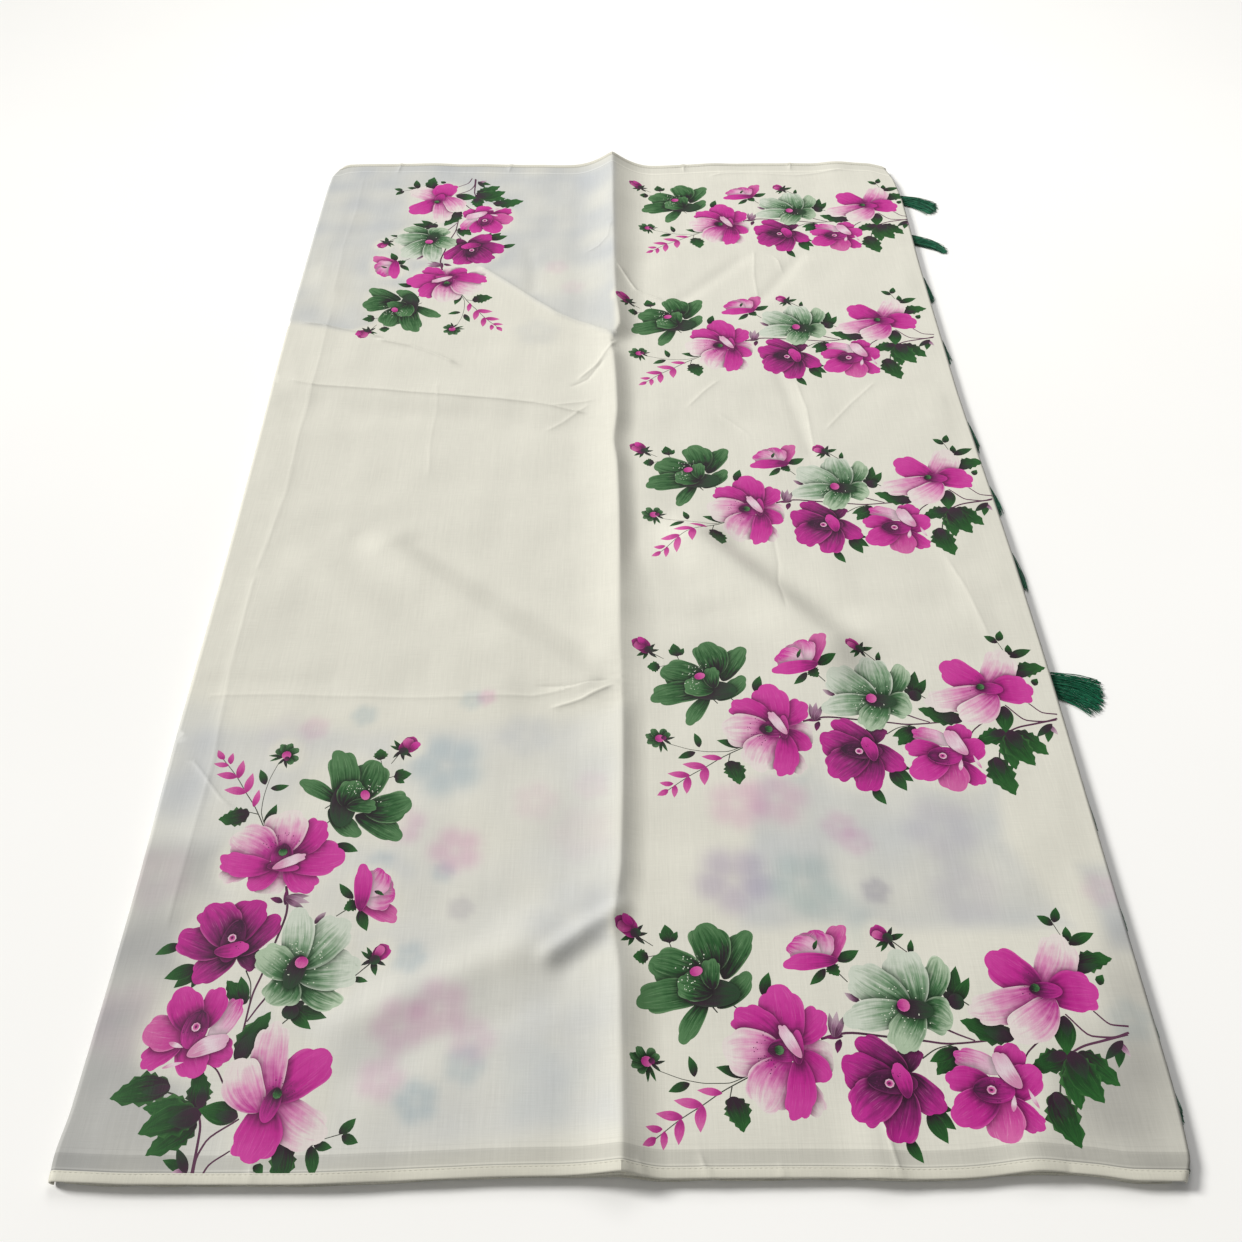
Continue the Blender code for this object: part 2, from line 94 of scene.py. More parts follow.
# Floor and light: a plain pale floor, soft light slanting in from a window at the left, a lamp above the
# far end, and a white sky that fills the shadows.
class Socket:
    """A node's output. Python's operators on it add Math nodes."""

    def __init__(self, nodes, output):
        self.nodes = nodes
        self.output = output

    def math(self, operation, first, second=0.0):
        return self.nodes.node("ShaderNodeMath", {"operation": operation}, {0: first, 1: second})

    def __add__(self, other):
        return self.math("ADD", self, other)

    def __radd__(self, other):
        return self.math("ADD", other, self)

    def __sub__(self, other):
        return self.math("SUBTRACT", self, other)

    def __rsub__(self, other):
        return self.math("SUBTRACT", other, self)

    def __mul__(self, other):
        return self.math("MULTIPLY", self, other)

    def __rmul__(self, other):
        return self.math("MULTIPLY", other, self)

    def size(self):
        return self.math("ABSOLUTE", self)

    def sine(self):
        return self.math("SINE", self)


class Nodes:
    """A node tree to which nodes are added with their settings and inputs."""

    def __init__(self, tree):
        self.tree = tree

    def node(self, kind, settings, inputs, output=0):
        made = self.tree.nodes.new(kind)
        for name, value in settings.items():
            if name == "stops":
                elements = made.color_ramp.elements
                while len(elements) < len(value):
                    elements.new(0.5)
                for element, (place, colour) in zip(elements, value):
                    element.position = place
                    element.color = (*colour, 1.0)
            else:
                setattr(made, name, value)
        for name, value in inputs.items():
            socket = made.inputs[name]
            if isinstance(value, Socket):
                self.tree.links.new(value.output, socket)
            elif hasattr(value, "__len__") and len(value) == 3 and socket.type == "RGBA":
                socket.default_value = (*value, 1.0)
            else:
                socket.default_value = value
        return Socket(self, made.outputs[output])

    def mix(self, factor, first, second, blend="MIX"):
        settings = {"data_type": "RGBA", "blend_type": blend}
        return self.node("ShaderNodeMix", settings, {0: factor, 6: first, 7: second}, 2)

    def between(self, value, low, high, low_to=0.0, high_to=1.0):
        settings = {"interpolation_type": "SMOOTHSTEP"}
        inputs = {0: value, 1: low, 2: high, 3: low_to, 4: high_to}
        return self.node("ShaderNodeMapRange", settings, inputs)

    def noise(self, place, scale, detail=2.0, stretch=None):
        if stretch:
            place = self.node("ShaderNodeMapping", {}, {0: place, 3: stretch})
        return self.node("ShaderNodeTexNoise", {}, {"Vector": place, "Scale": scale, "Detail": detail})


def surface_material(name, colour, roughness, normal=None, sheen=0.0):
    """A Principled material. colour, roughness and normal are functions of its nodes, or plain values."""
    material = bpy.data.materials.new(name)
    material.use_nodes = True
    nodes = Nodes(material.node_tree)
    shader = material.node_tree.nodes["Principled BSDF"]
    for socket, maker in (("Base Color", colour), ("Roughness", roughness), ("Normal", normal)):
        if maker is not None:
            material.node_tree.links.new(maker(nodes).output, shader.inputs[socket])
    shader.inputs["Sheen Weight"].default_value = sheen
    shader.inputs["Sheen Roughness"].default_value = 0.4
    shader.inputs["Specular IOR Level"].default_value = 0.2
    return material


def own_place(nodes):
    return nodes.node("ShaderNodeTexCoord", {}, {}, "Object")


def floor_colour(nodes):
    clouds = nodes.noise(own_place(nodes), 1.4, 3.0)
    return nodes.mix(nodes.between(clouds, 0.3, 0.7), (0.90, 0.90, 0.89), (0.93, 0.93, 0.925))


def floor_roughness(nodes):
    return nodes.noise(own_place(nodes), 40.0) * 0.1 + 0.55


def mesh_of(name, points, faces, edges=()):
    """A mesh of points in millimetres on the sari."""
    mesh = bpy.data.meshes.new(name)
    mesh.from_pydata([tuple(point) for point in in_part(points)], list(edges), faces)
    return mesh


FLOOR_REACH = 3000.0
floor_corners = [
    (-FLOOR_REACH, -FLOOR_REACH, 0.0), (FLOOR_REACH, -FLOOR_REACH, 0.0),
    (FLOOR_REACH, FLOOR_REACH, 0.0), (-FLOOR_REACH, FLOOR_REACH, 0.0),
]
floor_mesh = mesh_of("floor", floor_corners, [(0, 1, 2, 3)])
floor_mesh.materials.append(surface_material("pale_floor", floor_colour, floor_roughness))
floor = add_object("floor", floor_mesh)

sky = bpy.data.worlds.new("soft_room")
sky.use_nodes = True
sky.node_tree.nodes["Background"].inputs["Color"].default_value = (1.0, 0.99, 0.97, 1.0)
sky.node_tree.nodes["Background"].inputs["Strength"].default_value = 0.27
bpy.context.scene.world = sky
bpy.context.scene.view_settings.view_transform = "Standard"

TOWARDS_WINDOW = (-3.0, 1.2, 2.2)
window_data = bpy.data.lights.new("window", "SUN")
window_data.angle = math.radians(17.0)
window_data.energy = 3.3
window_data.color = (1.0, 0.985, 0.95)
window = add_object("window", window_data)
window.rotation_euler = Vector(TOWARDS_WINDOW).to_track_quat("Z", "Y").to_euler()

LAMP_PLACE = (60.0, 1000.0, 1500.0)
lamp_data = bpy.data.lights.new("lamp", "AREA")
lamp_data.size = 1.0
lamp_data.energy = 10.6
lamp_data.color = (1.0, 0.99, 0.97)
lamp = add_object("lamp", lamp_data)
lamp.location = in_part(LAMP_PLACE)
lamp.rotation_euler = Vector(LAMP_PLACE).to_track_quat("Z", "Y").to_euler()


# Printed cloth: one length of fine cotton-silk with a flower print, folded with its pallu on top. Its two
# stretches meet at a pressed-up crease, and each rolls over a side fold. Here is how it lies.

# Height of the flat cloth, and its side folds: their radius, and how far the cloth turns round them
CLOTH_TOP = 7.8
LEFT_ROLL = {"radius": 3.7, "turn": 150.0}
RIGHT_ROLL = {"radius": 3.0, "turn": 110.0}
# Outline from above. Sides: y, x. Selvedges: x, y.
LEFT_SIDE = (
    (-574.5, -319.5), (-560.0, -320.5), (-533.0, -318.5), (-406.0, -317.5), (-246.0, -320.0),
    (-119.0, -320.5), (86.0, -323.5), (177.0, -325.5), (298.0, -327.0), (500.0, -327.5),
    (544.5, -326.5), (560.0, -322.0), (567.7, -317.0),
)
RIGHT_SIDE = (
    (-574.5, 327.0), (-560.0, 333.0), (-508.6, 335.7), (-369.0, 336.3), (-219.8, 337.0),
    (-85.8, 336.0), (62.0, 332.5), (160.4, 330.5), (341.6, 330.5), (487.6, 332.5),
    (535.8, 330.0), (568.0, 322.5),
)
NEAR_SIDE = (
    (-319.5, -574.5), (-270.0, -576.3), (-186.0, -576.3), (-103.0, -573.5), (-64.0, -572.0),
    (2.0, -571.5), (29.0, -573.1), (124.0, -572.5), (166.0, -573.6), (197.0, -573.1),
    (245.0, -569.5), (276.0, -571.4), (300.0, -574.2), (327.0, -574.5),
)
FAR_SIDE = (
    (-317.0, 567.7), (-307.0, 573.5), (-285.0, 575.5), (-202.0, 574.5), (-131.0, 573.0),
    (-58.0, 571.5), (2.0, 573.5), (58.0, 571.5), (105.0, 574.5), (176.0, 576.0),
    (248.0, 577.5), (300.0, 577.0), (322.5, 568.0),
)
# The raised middle crease: y, x, height, reach of its left slope, reach of its right slope
RIDGE = (
    (-572.0, 6.0, 9.0, 40.0, 28.0), (-540.0, 6.0, 7.0, 38.0, 26.0), (-455.0, 5.0, 6.0, 36.0, 25.0),
    (-417.0, 1.5, 4.5, 34.0, 18.0), (-370.0, 6.0, 6.5, 38.0, 18.0), (-260.0, 8.0, 6.5, 38.0, 18.0),
    (-206.0, 7.5, 4.5, 36.0, 22.0), (-165.0, 6.5, 6.0, 36.0, 30.0), (-130.0, 6.5, 8.0, 38.0, 30.0),
    (-60.0, 6.5, 8.5, 40.0, 18.0), (30.0, 5.0, 8.5, 40.0, 18.0), (65.0, 2.0, 7.0, 38.0, 18.0),
    (110.0, 5.0, 8.5, 40.0, 19.0), (190.0, 2.0, 8.0, 38.0, 20.0), (215.0, -1.0, 6.0, 36.0, 20.0),
    (245.0, 8.0, 9.5, 42.0, 22.0), (300.0, 4.0, 11.0, 42.0, 30.0), (430.0, 2.0, 13.5, 42.0, 38.0),
    (520.0, 1.5, 15.0, 44.0, 42.0), (573.5, 1.5, 16.0, 46.0, 44.0),
)
RIDGE_ROUND = 1.6
# Soft folds, raised or sunk along a path: path of (x, y), height, half width. Each fades out over its
# last few half widths.
FOLD_FADE = 2.2
FOLDS = (
    (((40, -28), (66, -60), (78, -74), (122, -125), (163, -175), (196, -212)), 11.5, 21.5),
    (((84, -38), (110, -66), (152, -112), (202, -166)), -3.0, 17.0),
    (((74, -118), (78, -140), (70, -168)), -1.4, 15.0),
    (((-215, -50), (-175, -82), (-149, -107), (-70, -173), (-21, -213), (6, -236)), 5.6, 16.0),
    (((-180, -48), (-137, -80), (-52, -146), (-2, -190)), -2.0, 11.0),
    (((-280, -60), (-238, -91), (-176, -157), (-98, -208), (-53, -235)), 2.8, 18.0),
    (((-190, -486), (-152, -477), (-115, -457), (-82, -443), (-32, -430), (8, -410)), 3.4, 15.0),
    (((-176, -518), (-140, -510), (-100, -488), (-60, -474), (-18, -458)), -1.2, 12.0),
    (((-50, -446), (-36, -435), (-15, -419), (16, -398)), 2.8, 7.0),
    (((-84, -442), (-50, -418), (-18, -398), (8, -384)), 2.6, 16.0),
    (((-40, -456), (-24, -442), (6, -420)), -1.2, 8.0),
    (((-340, -205), (-290, -211), (-200, -212)), -0.6, 8.0),
    (((-330, 262), (-255, 235), (-155, 192)), 0.7, 14.0),
    (((-345, 166), (-284, 150), (-171, 136), (-73, 124), (-10, 112)), 2.2, 20.0),
    (((-345, 138), (-284, 122), (-171, 106), (-73, 94), (-10, 84)), -1.4, 18.0),
    (((-350, 370), (-322, 358), (-258, 268), (-240, 235)), 1.0, 14.0),
    (((-285, 150), (-270, 120), (-225, 80)), -0.8, 13.0),
    (((-272, 540), (-270, 300), (-268, 150)), -0.25, 9.0),
    (((-90, 400), (-82, 350), (-80, 300)), -1.0, 8.0),
    (((60, 285), (80, 302), (128, 357), (150, 385)), -1.1, 9.0),
    (((145, 285), (160, 302), (197, 366), (210, 390)), -1.0, 8.0),
    (((160, 190), (163, 170), (172, 118), (182, 40)), -0.9, 7.0),
    (((20, -40), (50, -70), (70, -100)), -1.4, 14.0),
    (((75, 130), (100, 112), (130, 75)), -0.7, 12.0),
    (((265, -40), (284, -81), (300, -170), (302, -200)), 0.5, 9.0),
    (((100, 590), (150, 545), (235, 515)), 1.4, 16.0),
    (((247, -620), (244, -575), (238, -525)), 3.0, 15.0),
    (((158, -620), (154, -570), (148, -520)), 1.6, 14.0),
    (((275, 630), (264, 575), (255, 530)), 1.8, 18.0),
    (((-215, 630), (-208, 575), (-200, 530)), 1.4, 20.0),
    (((-289, 400), (-286, 80), (-290, -420)), 0.35, 8.0),
)
# Thin pressed creases: path of (x, y), height, half width. Their crests are a little rounded.
CREASE_FADE = 12.0
CREST_ROUND = 0.4
CREASES = (
    (((-142, 359), (-96, 311), (-55, 269), (-24, 249), (5, 224)), 2.4, 2.6),
    (((-332, 258), (-290, 249), (-254, 238), (-225, 226)), 2.0, 1.8),
    (((-236, 226), (-198, 214), (-172, 200), (-154, 188), (-148, 184)), 2.1, 1.9),
    (((-330, 166), (-284, 151), (-241, 146), (-171, 137), (-120, 131), (-73, 124), (-20, 108)), 1.5, 1.7),
    (((-60, 118), (-36, 124), (-12, 128)), 0.7, 1.6),
    (((-288, 545), (-287, 465), (-291, 395), (-287, 300)), 0.25, 1.9),
    (((-286, 275), (-285, 200), (-286, 76), (-284, 3), (-292, -98)), 0.4, 1.9),
    (((-292, -98), (-292, -200), (-287, -284), (-289, -420)), 0.4, 1.9),
    (((-167, 160), (-163, 120), (-165, 69), (-161, 20)), 0.3, 1.9),
    (((-330, -226), (-250, -224), (-146, -227), (-60, -226), (-8, -214)), 0.6, 1.7),
    (((-60, -216), (-30, -218), (2, -212)), -0.7, 1.5),
    (((-48, -238), (-22, -230), (5, -216)), 1.1, 1.5),
    (((-34, 158), (-14, 180), (7, 222)), 1.1, 1.7),
    (((-42, 148), (-22, 160), (-4, 190)), -0.9, 1.7),
    (((-63, 83), (-45, 97), (-18, 124)), 0.6, 1.8),
    (((-30, 380), (-14, 388), (-4, 400), (0, 432)), 0.9, 1.6),
    (((6, 350), (12, 338), (26, 311), (56, 292)), 1.3, 1.5),
    (((112, 545), (128, 550), (158, 551), (215, 547), (278, 560)), 0.8, 1.6),
    (((155, 390), (151, 340), (152, 288)), 0.45, 1.6),
    (((172, 382), (179, 368), (182, 343)), 0.5, 1.5),
    (((177, 162), (183, 115), (184, 50)), 0.5, 1.7),
    (((196, 84), (225, 124), (255, 160)), 0.4, 1.6),
    (((70, 118), (88, 142), (106, 162)), 0.5, 1.6),
    (((94, 116), (112, 98), (128, 78)), 0.4, 1.6),
    (((278, -74), (289, -116), (297, -170)), 0.4, 1.7),
    (((137, -52), (139, -84), (136, -112), (139, -150)), -0.4, 1.5),
    (((-316, -262), (-304, -282), (-290, -298), (-284, -306), (-274, -318), (-262, -327)), 0.9, 1.4),
    (((50, -556), (53, -566), (60, -580)), 0.9, 1.5),
    (((158, -536), (161, -552), (166, -580)), 0.9, 1.5),
    (((-206, -560), (-204, -582)), 0.7, 1.4),
    (((96, -562), (99, -582)), 0.7, 1.4),
    (((262, -560), (260, -582)), -0.8, 1.5),
    (((14, -560), (22, -582)), 0.7, 1.5),
    (((-250, 550), (-246, 585)), 0.9, 1.5),
    (((-120, 552), (-116, 585)), 0.9, 1.5),
    (((86, 552), (84, 590)), 1.0, 1.5),
    (((210, 556), (212, 590)), 1.0, 1.5),
)
# Short puckers across the crease's foot: y of their middle, half the length they cover, height, spacing
PUCKERS = (
    (-212, 20, 0.42, 9.0), (15, 22, 0.16, 11.0), (105, 36, 0.22, 12.0),
    (226, 24, 0.5, 10.0), (-412, 20, 0.22, 10.0), (545, 18, 0.3, 12.0),
)
# How far they reach from the crease's crest on its left, and half as far on its right, how far from the
# crest they start, and how they slant
PUCKER_REACH = 15.0
PUCKER_START = 4.0
PUCKER_SLANT = 0.3
# Folds and creases fade out over this width before each side fold
SIDE_FADE = 22.0
# How far apart the heights lie from which the cloth's slope is worked out
SLOPE_STEP = 0.4


def read_table(table, place):
    """A table's other columns at places in its first, on smooth curves that don't overshoot."""
    rows = np.array(table, float)
    at, values = rows[:, 0], rows[:, 1:]
    gaps = np.diff(at)
    slopes = np.diff(values, axis=0) / gaps[:, None]
    before, after = slopes[:-1], slopes[1:]
    turning = before * after <= 0.0
    level = 2.0 * before * after / np.where(turning, 1.0, before + after)
    tangents = np.vstack([slopes[:1], np.where(turning, 0.0, level), slopes[-1:]])
    place = np.clip(np.asarray(place, float), at[0], at[-1])
    row = np.clip(np.searchsorted(at, place, side="right") - 1, 0, len(at) - 2)
    share = ((place - at[row]) / gaps[row])[..., None]
    span = gaps[row][..., None]
    bend = share * share * (3.0 - 2.0 * share)
    found = values[row] + (values[row + 1] - values[row]) * bend
    found += tangents[row] * span * share * (1.0 - share) ** 2
    found -= tangents[row + 1] * span * share * share * (1.0 - share)
    return [found[..., column] for column in range(found.shape[-1])]


def soft_step(share):
    share = np.clip(share, 0.0, 1.0)
    return share * share * (3.0 - 2.0 * share)


def along_path(path, x, y):
    """The distance of places from a path of points, and how far the nearest point lies from its ends."""
    lengths = [math.dist(start, end) for start, end in zip(path, path[1:])]
    nearest, walked, passed = np.full(x.shape, 1e9), np.zeros(x.shape), 0.0
    for start, end, length in zip(path, path[1:], lengths):
        along = ((x - start[0]) * (end[0] - start[0]) + (y - start[1]) * (end[1] - start[1])) / length**2
        along = np.clip(along, 0.0, 1.0)
        away_x = x - start[0] - along * (end[0] - start[0])
        away_y = y - start[1] - along * (end[1] - start[1])
        away = np.hypot(away_x, away_y)
        walked = np.where(away < nearest, passed + along * length, walked)
        nearest = np.minimum(nearest, away)
        passed += length
    return nearest, np.minimum(walked, passed - walked)


def soft_waves(x, y, count, shortest, longest, height):
    """Slow uneven waves of a cloth that has been folded and smoothed by hand."""
    chance = random.Random(11)
    total = np.zeros(x.shape)
    for _ in range(count):
        length = chance.uniform(shortest, longest)
        angle, start = chance.uniform(0.0, math.pi), chance.uniform(0.0, math.tau)
        phase = (x * math.cos(angle) + y * math.sin(angle)) * math.tau / length + start
        total += np.sin(phase + 0.8 * np.sin(phase * 0.37 + start)) * height / math.sqrt(count)
    return total


def cloth_height(x, y):
    """How high the top of the cloth lies at places on it."""
    ridge_x, height, left_reach, right_reach = read_table(RIDGE, y)
    away = x - ridge_x
    reach = np.where(away < 0.0, left_reach, right_reach)
    rounded = np.sqrt(away * away + RIDGE_ROUND**2) - RIDGE_ROUND
    ridge = height * np.clip(1.0 - rounded / reach, 0.0, None) ** 2
    folds = soft_waves(x, y, count=16, shortest=45.0, longest=190.0, height=0.5)
    for path, rise, half_width in FOLDS:
        from_path, from_end = along_path(path, x, y)
        fade = soft_step(from_end / half_width / FOLD_FADE)
        folds += rise * fade * np.exp(-((from_path / half_width) ** 2))
    for path, rise, half_width in CREASES:
        from_path, from_end = along_path(path, x, y)
        crest = np.sqrt(from_path**2 + CREST_ROUND**2) - CREST_ROUND
        folds += rise * soft_step(from_end / CREASE_FADE) * np.exp(-crest / half_width)
    for middle_y, half_length, rise, length in PUCKERS:
        ripple = np.sin((y + PUCKER_SLANT * away) * math.tau / length)
        ripple *= np.exp(-(((y - middle_y) / half_length) ** 2))
        reach = np.where(away < 0.0, PUCKER_REACH, PUCKER_REACH * 0.5)
        folds += rise * ripple * np.exp(-np.abs(away) / reach) * (1.0 - np.exp(-np.abs(away) / PUCKER_START))
    from_left = x - read_table(LEFT_SIDE, y)[0] - LEFT_ROLL["radius"]
    from_right = read_table(RIGHT_SIDE, y)[0] - RIGHT_ROLL["radius"] - x
    return CLOTH_TOP + ridge + folds * soft_step(from_left / SIDE_FADE) * soft_step(from_right / SIDE_FADE)


def drape(x, y, above=0.0):
    """Places on the flat cloth laid on the pad: past each side, x runs on round the roll."""
    left_start = read_table(LEFT_SIDE, y)[0] + LEFT_ROLL["radius"]
    right_start = read_table(RIGHT_SIDE, y)[0] - RIGHT_ROLL["radius"]
    inside = np.clip(x, left_start, right_start)
    step = SLOPE_STEP
    top = cloth_height(inside, y)
    rise_x = (cloth_height(inside + step, y) - cloth_height(inside - step, y)) / (2.0 * step)
    rise_y = (cloth_height(inside, y + step) - cloth_height(inside, y - step)) / (2.0 * step)
    normal = np.stack([-rise_x, -rise_y, np.ones(x.shape)], -1)
    normal /= np.linalg.norm(normal, axis=-1, keepdims=True)
    points = np.stack([inside, y, top], -1)
    for start, roll, outward in ((left_start, LEFT_ROLL, -1.0), (right_start, RIGHT_ROLL, 1.0)):
        angle = outward * (x - start) / roll["radius"]
        past = angle > 0.0
        angle = np.clip(angle, 0.0, None)
        turned = np.stack([outward * np.sin(angle), np.zeros(x.shape), np.cos(angle)], -1)
        centre = np.stack([start, y, np.full(x.shape, CLOTH_TOP - roll["radius"])], -1)
        points = np.where(past[:, None], centre + turned * roll["radius"], points)
        normal = np.where(past[:, None], turned, normal)
    return points + normal * above, normal


# The print: a long spray of anemones, buds and leaves on purple stems. The pallu has five of them side by
# side, and the body has one in from each selvedge. Each shape is laid on the cloth like a brush stroke.

# Inks: the colour at a stroke's root, along it, at its rim and of its fine light lines, and how strong
# those lines and the brushed streaks are
INKS = {
    "magenta": ((0.15, 0.007, 0.09), (0.44, 0.014, 0.23), (0.52, 0.040, 0.29), (0.66, 0.24, 0.47), 0.22, 0.6),
    "blush": ((0.42, 0.025, 0.24), (0.60, 0.23, 0.42), (0.67, 0.61, 0.59), (0.70, 0.66, 0.63), 0.3, 0.7),
    "rimmed": ((0.68, 0.54, 0.60), (0.66, 0.38, 0.52), (0.50, 0.030, 0.28), (0.74, 0.64, 0.68), 0.4, 0.6),
    "white": ((0.55, 0.22, 0.38), (0.68, 0.57, 0.62), (0.60, 0.32, 0.46), (0.74, 0.68, 0.69), 0.3, 0.5),
    "plum": ((0.035, 0.007, 0.028), (0.085, 0.009, 0.058), (0.18, 0.011, 0.11), (0.4, 0.16, 0.3), 0.25, 0.6),
    "wine": ((0.055, 0.008, 0.040), (0.20, 0.009, 0.12), (0.42, 0.016, 0.23), (0.60, 0.22, 0.42), 0.25, 0.9),
    "green": (
        (0.014, 0.009, 0.013), (0.012, 0.074, 0.016), (0.066, 0.168, 0.064), (0.22, 0.34, 0.19), 0.5, 1.2,
    ),
    "fern": ((0.010, 0.050, 0.015), (0.050, 0.145, 0.055), (0.36, 0.46, 0.33), (0.58, 0.64, 0.54), 0.5, 0.9),
    "mist": ((0.012, 0.065, 0.018), (0.15, 0.26, 0.15), (0.53, 0.58, 0.50), (0.64, 0.66, 0.60), 0.5, 0.9),
    "leaf": ((0.024, 0.01, 0.02), (0.01, 0.048, 0.012), (0.016, 0.094, 0.018), (0.09, 0.22, 0.07), 0.3, 0.9),
    "dusk": ((0.04, 0.014, 0.032), (0.026, 0.018, 0.024), (0.016, 0.05, 0.02), (0.08, 0.06, 0.07), 0.2, 0.6),
    "rose": ((0.34, 0.020, 0.18), (0.48, 0.045, 0.26), (0.55, 0.11, 0.32), (0.66, 0.34, 0.50), 0.4, 0.5),
    "mauve": ((0.085, 0.022, 0.062), (0.28, 0.13, 0.23), (0.50, 0.38, 0.44), (0.56, 0.48, 0.52), 0.3, 0.8),
    "stem": ((0.085, 0.024, 0.060), (0.085, 0.024, 0.060), (0.12, 0.045, 0.09), (0.2, 0.1, 0.15), 0.3, 0.1),
    "twig": ((0.040, 0.044, 0.032), (0.040, 0.044, 0.032), (0.06, 0.06, 0.05), (0.1, 0.1, 0.1), 0.2, 0.1),
    "dot": ((0.58, 0.62, 0.52), (0.58, 0.62, 0.52), (0.58, 0.62, 0.52), (0.6, 0.6, 0.6), 0.0, 0.0),
    "speck": ((0.10, 0.012, 0.07), (0.10, 0.012, 0.07), (0.10, 0.012, 0.07), (0.1, 0.1, 0.1), 0.0, 0.0),
}
INK_NAMES = ["bare", *INKS]
# Strokes: how far they may bend to a side as a share of their width, the size from which they have lobes
# or teeth, and the steps down each side: their length, the fewest and the most
LARGEST_BEND = 0.13
LOBED_FROM = 9.0
STROKE_STEP = 1.5
FEWEST_STEPS, MOST_STEPS = 4, 22
# Petals and hearts from this size on shade what they are painted over
SHADING_FROM = 4.5
# Strokes: where each is fullest, how round its root and tip are, and how deep its lobes or teeth are
FORMS = {
    "petal": {"full": 0.60, "root": 0.58, "tip": 0.40, "lobes": (4, 7), "depth": 0.20},
    "round": {"full": 0.50, "root": 0.50, "tip": 0.50, "lobes": None, "depth": 0.0},
    "leaf": {"full": 0.42, "root": 0.75, "tip": 1.15, "lobes": None, "depth": 0.0},
    "saw": {"full": 0.40, "root": 0.60, "tip": 1.05, "lobes": (5, 6), "depth": 0.27},
}
# Stems of the spray: path of (x, y) from the stems' cut end, width, ink
STEMS = (
    (((3, -2), (-8, -5), (-20, -4), (-33, 10)), 1.5, "stem"),
    (((4, 2), (-6, 3), (-15, 12)), 1.3, "stem"),
    (((2, -3), (-14, -7), (-26, -10), (-38, -16)), 1.8, "stem"),
    (((-53, -7), (-62, -15), (-66, -22)), 1.2, "stem"),
    (((-186, -6), (-168, -2), (-149, -4), (-124, -7), (-108, -9), (-84, -7)), 1.7, "stem"),
    (((-110, 1), (-102, -3), (-92, -7)), 1.4, "stem"),
    (((-126, -18), (-116, -12), (-104, -9)), 0.9, "twig"),
    (((-41, -26), (-46, -33), (-48, -40)), 1.4, "twig"),
    (((-299, 64), (-287, 56)), 0.7, "twig"),
    (((-275, 54), (-277, 60)), 0.7, "twig"),
    (((-283, 50), (-292, 48)), 0.6, "twig"),
    (((-231, -29), (-248, -38), (-260, -46), (-273, -54), (-290, -67)), 0.8, "twig"),
    (((-233, -29), (-245, -33), (-256, -33), (-269, -31), (-286, -25)), 0.6, "twig"),
    (((-242, -35), (-244, -43)), 0.8, "twig"),
    (((-175, 43), (-165, 31)), 0.9, "twig"),
    (((-134, 61), (-124, 52)), 0.9, "twig"),
    (((-26, 73), (-22, 61)), 0.6, "twig"),
    (((-20, 60), (-17, 53)), 0.6, "twig"),
    (((-97, 20), (-87, 12)), 0.9, "twig"),
    (((-254, 19), (-248, 11)), 1.1, "twig"),
    (((-241, 19), (-234, 12)), 1.0, "stem"),
)
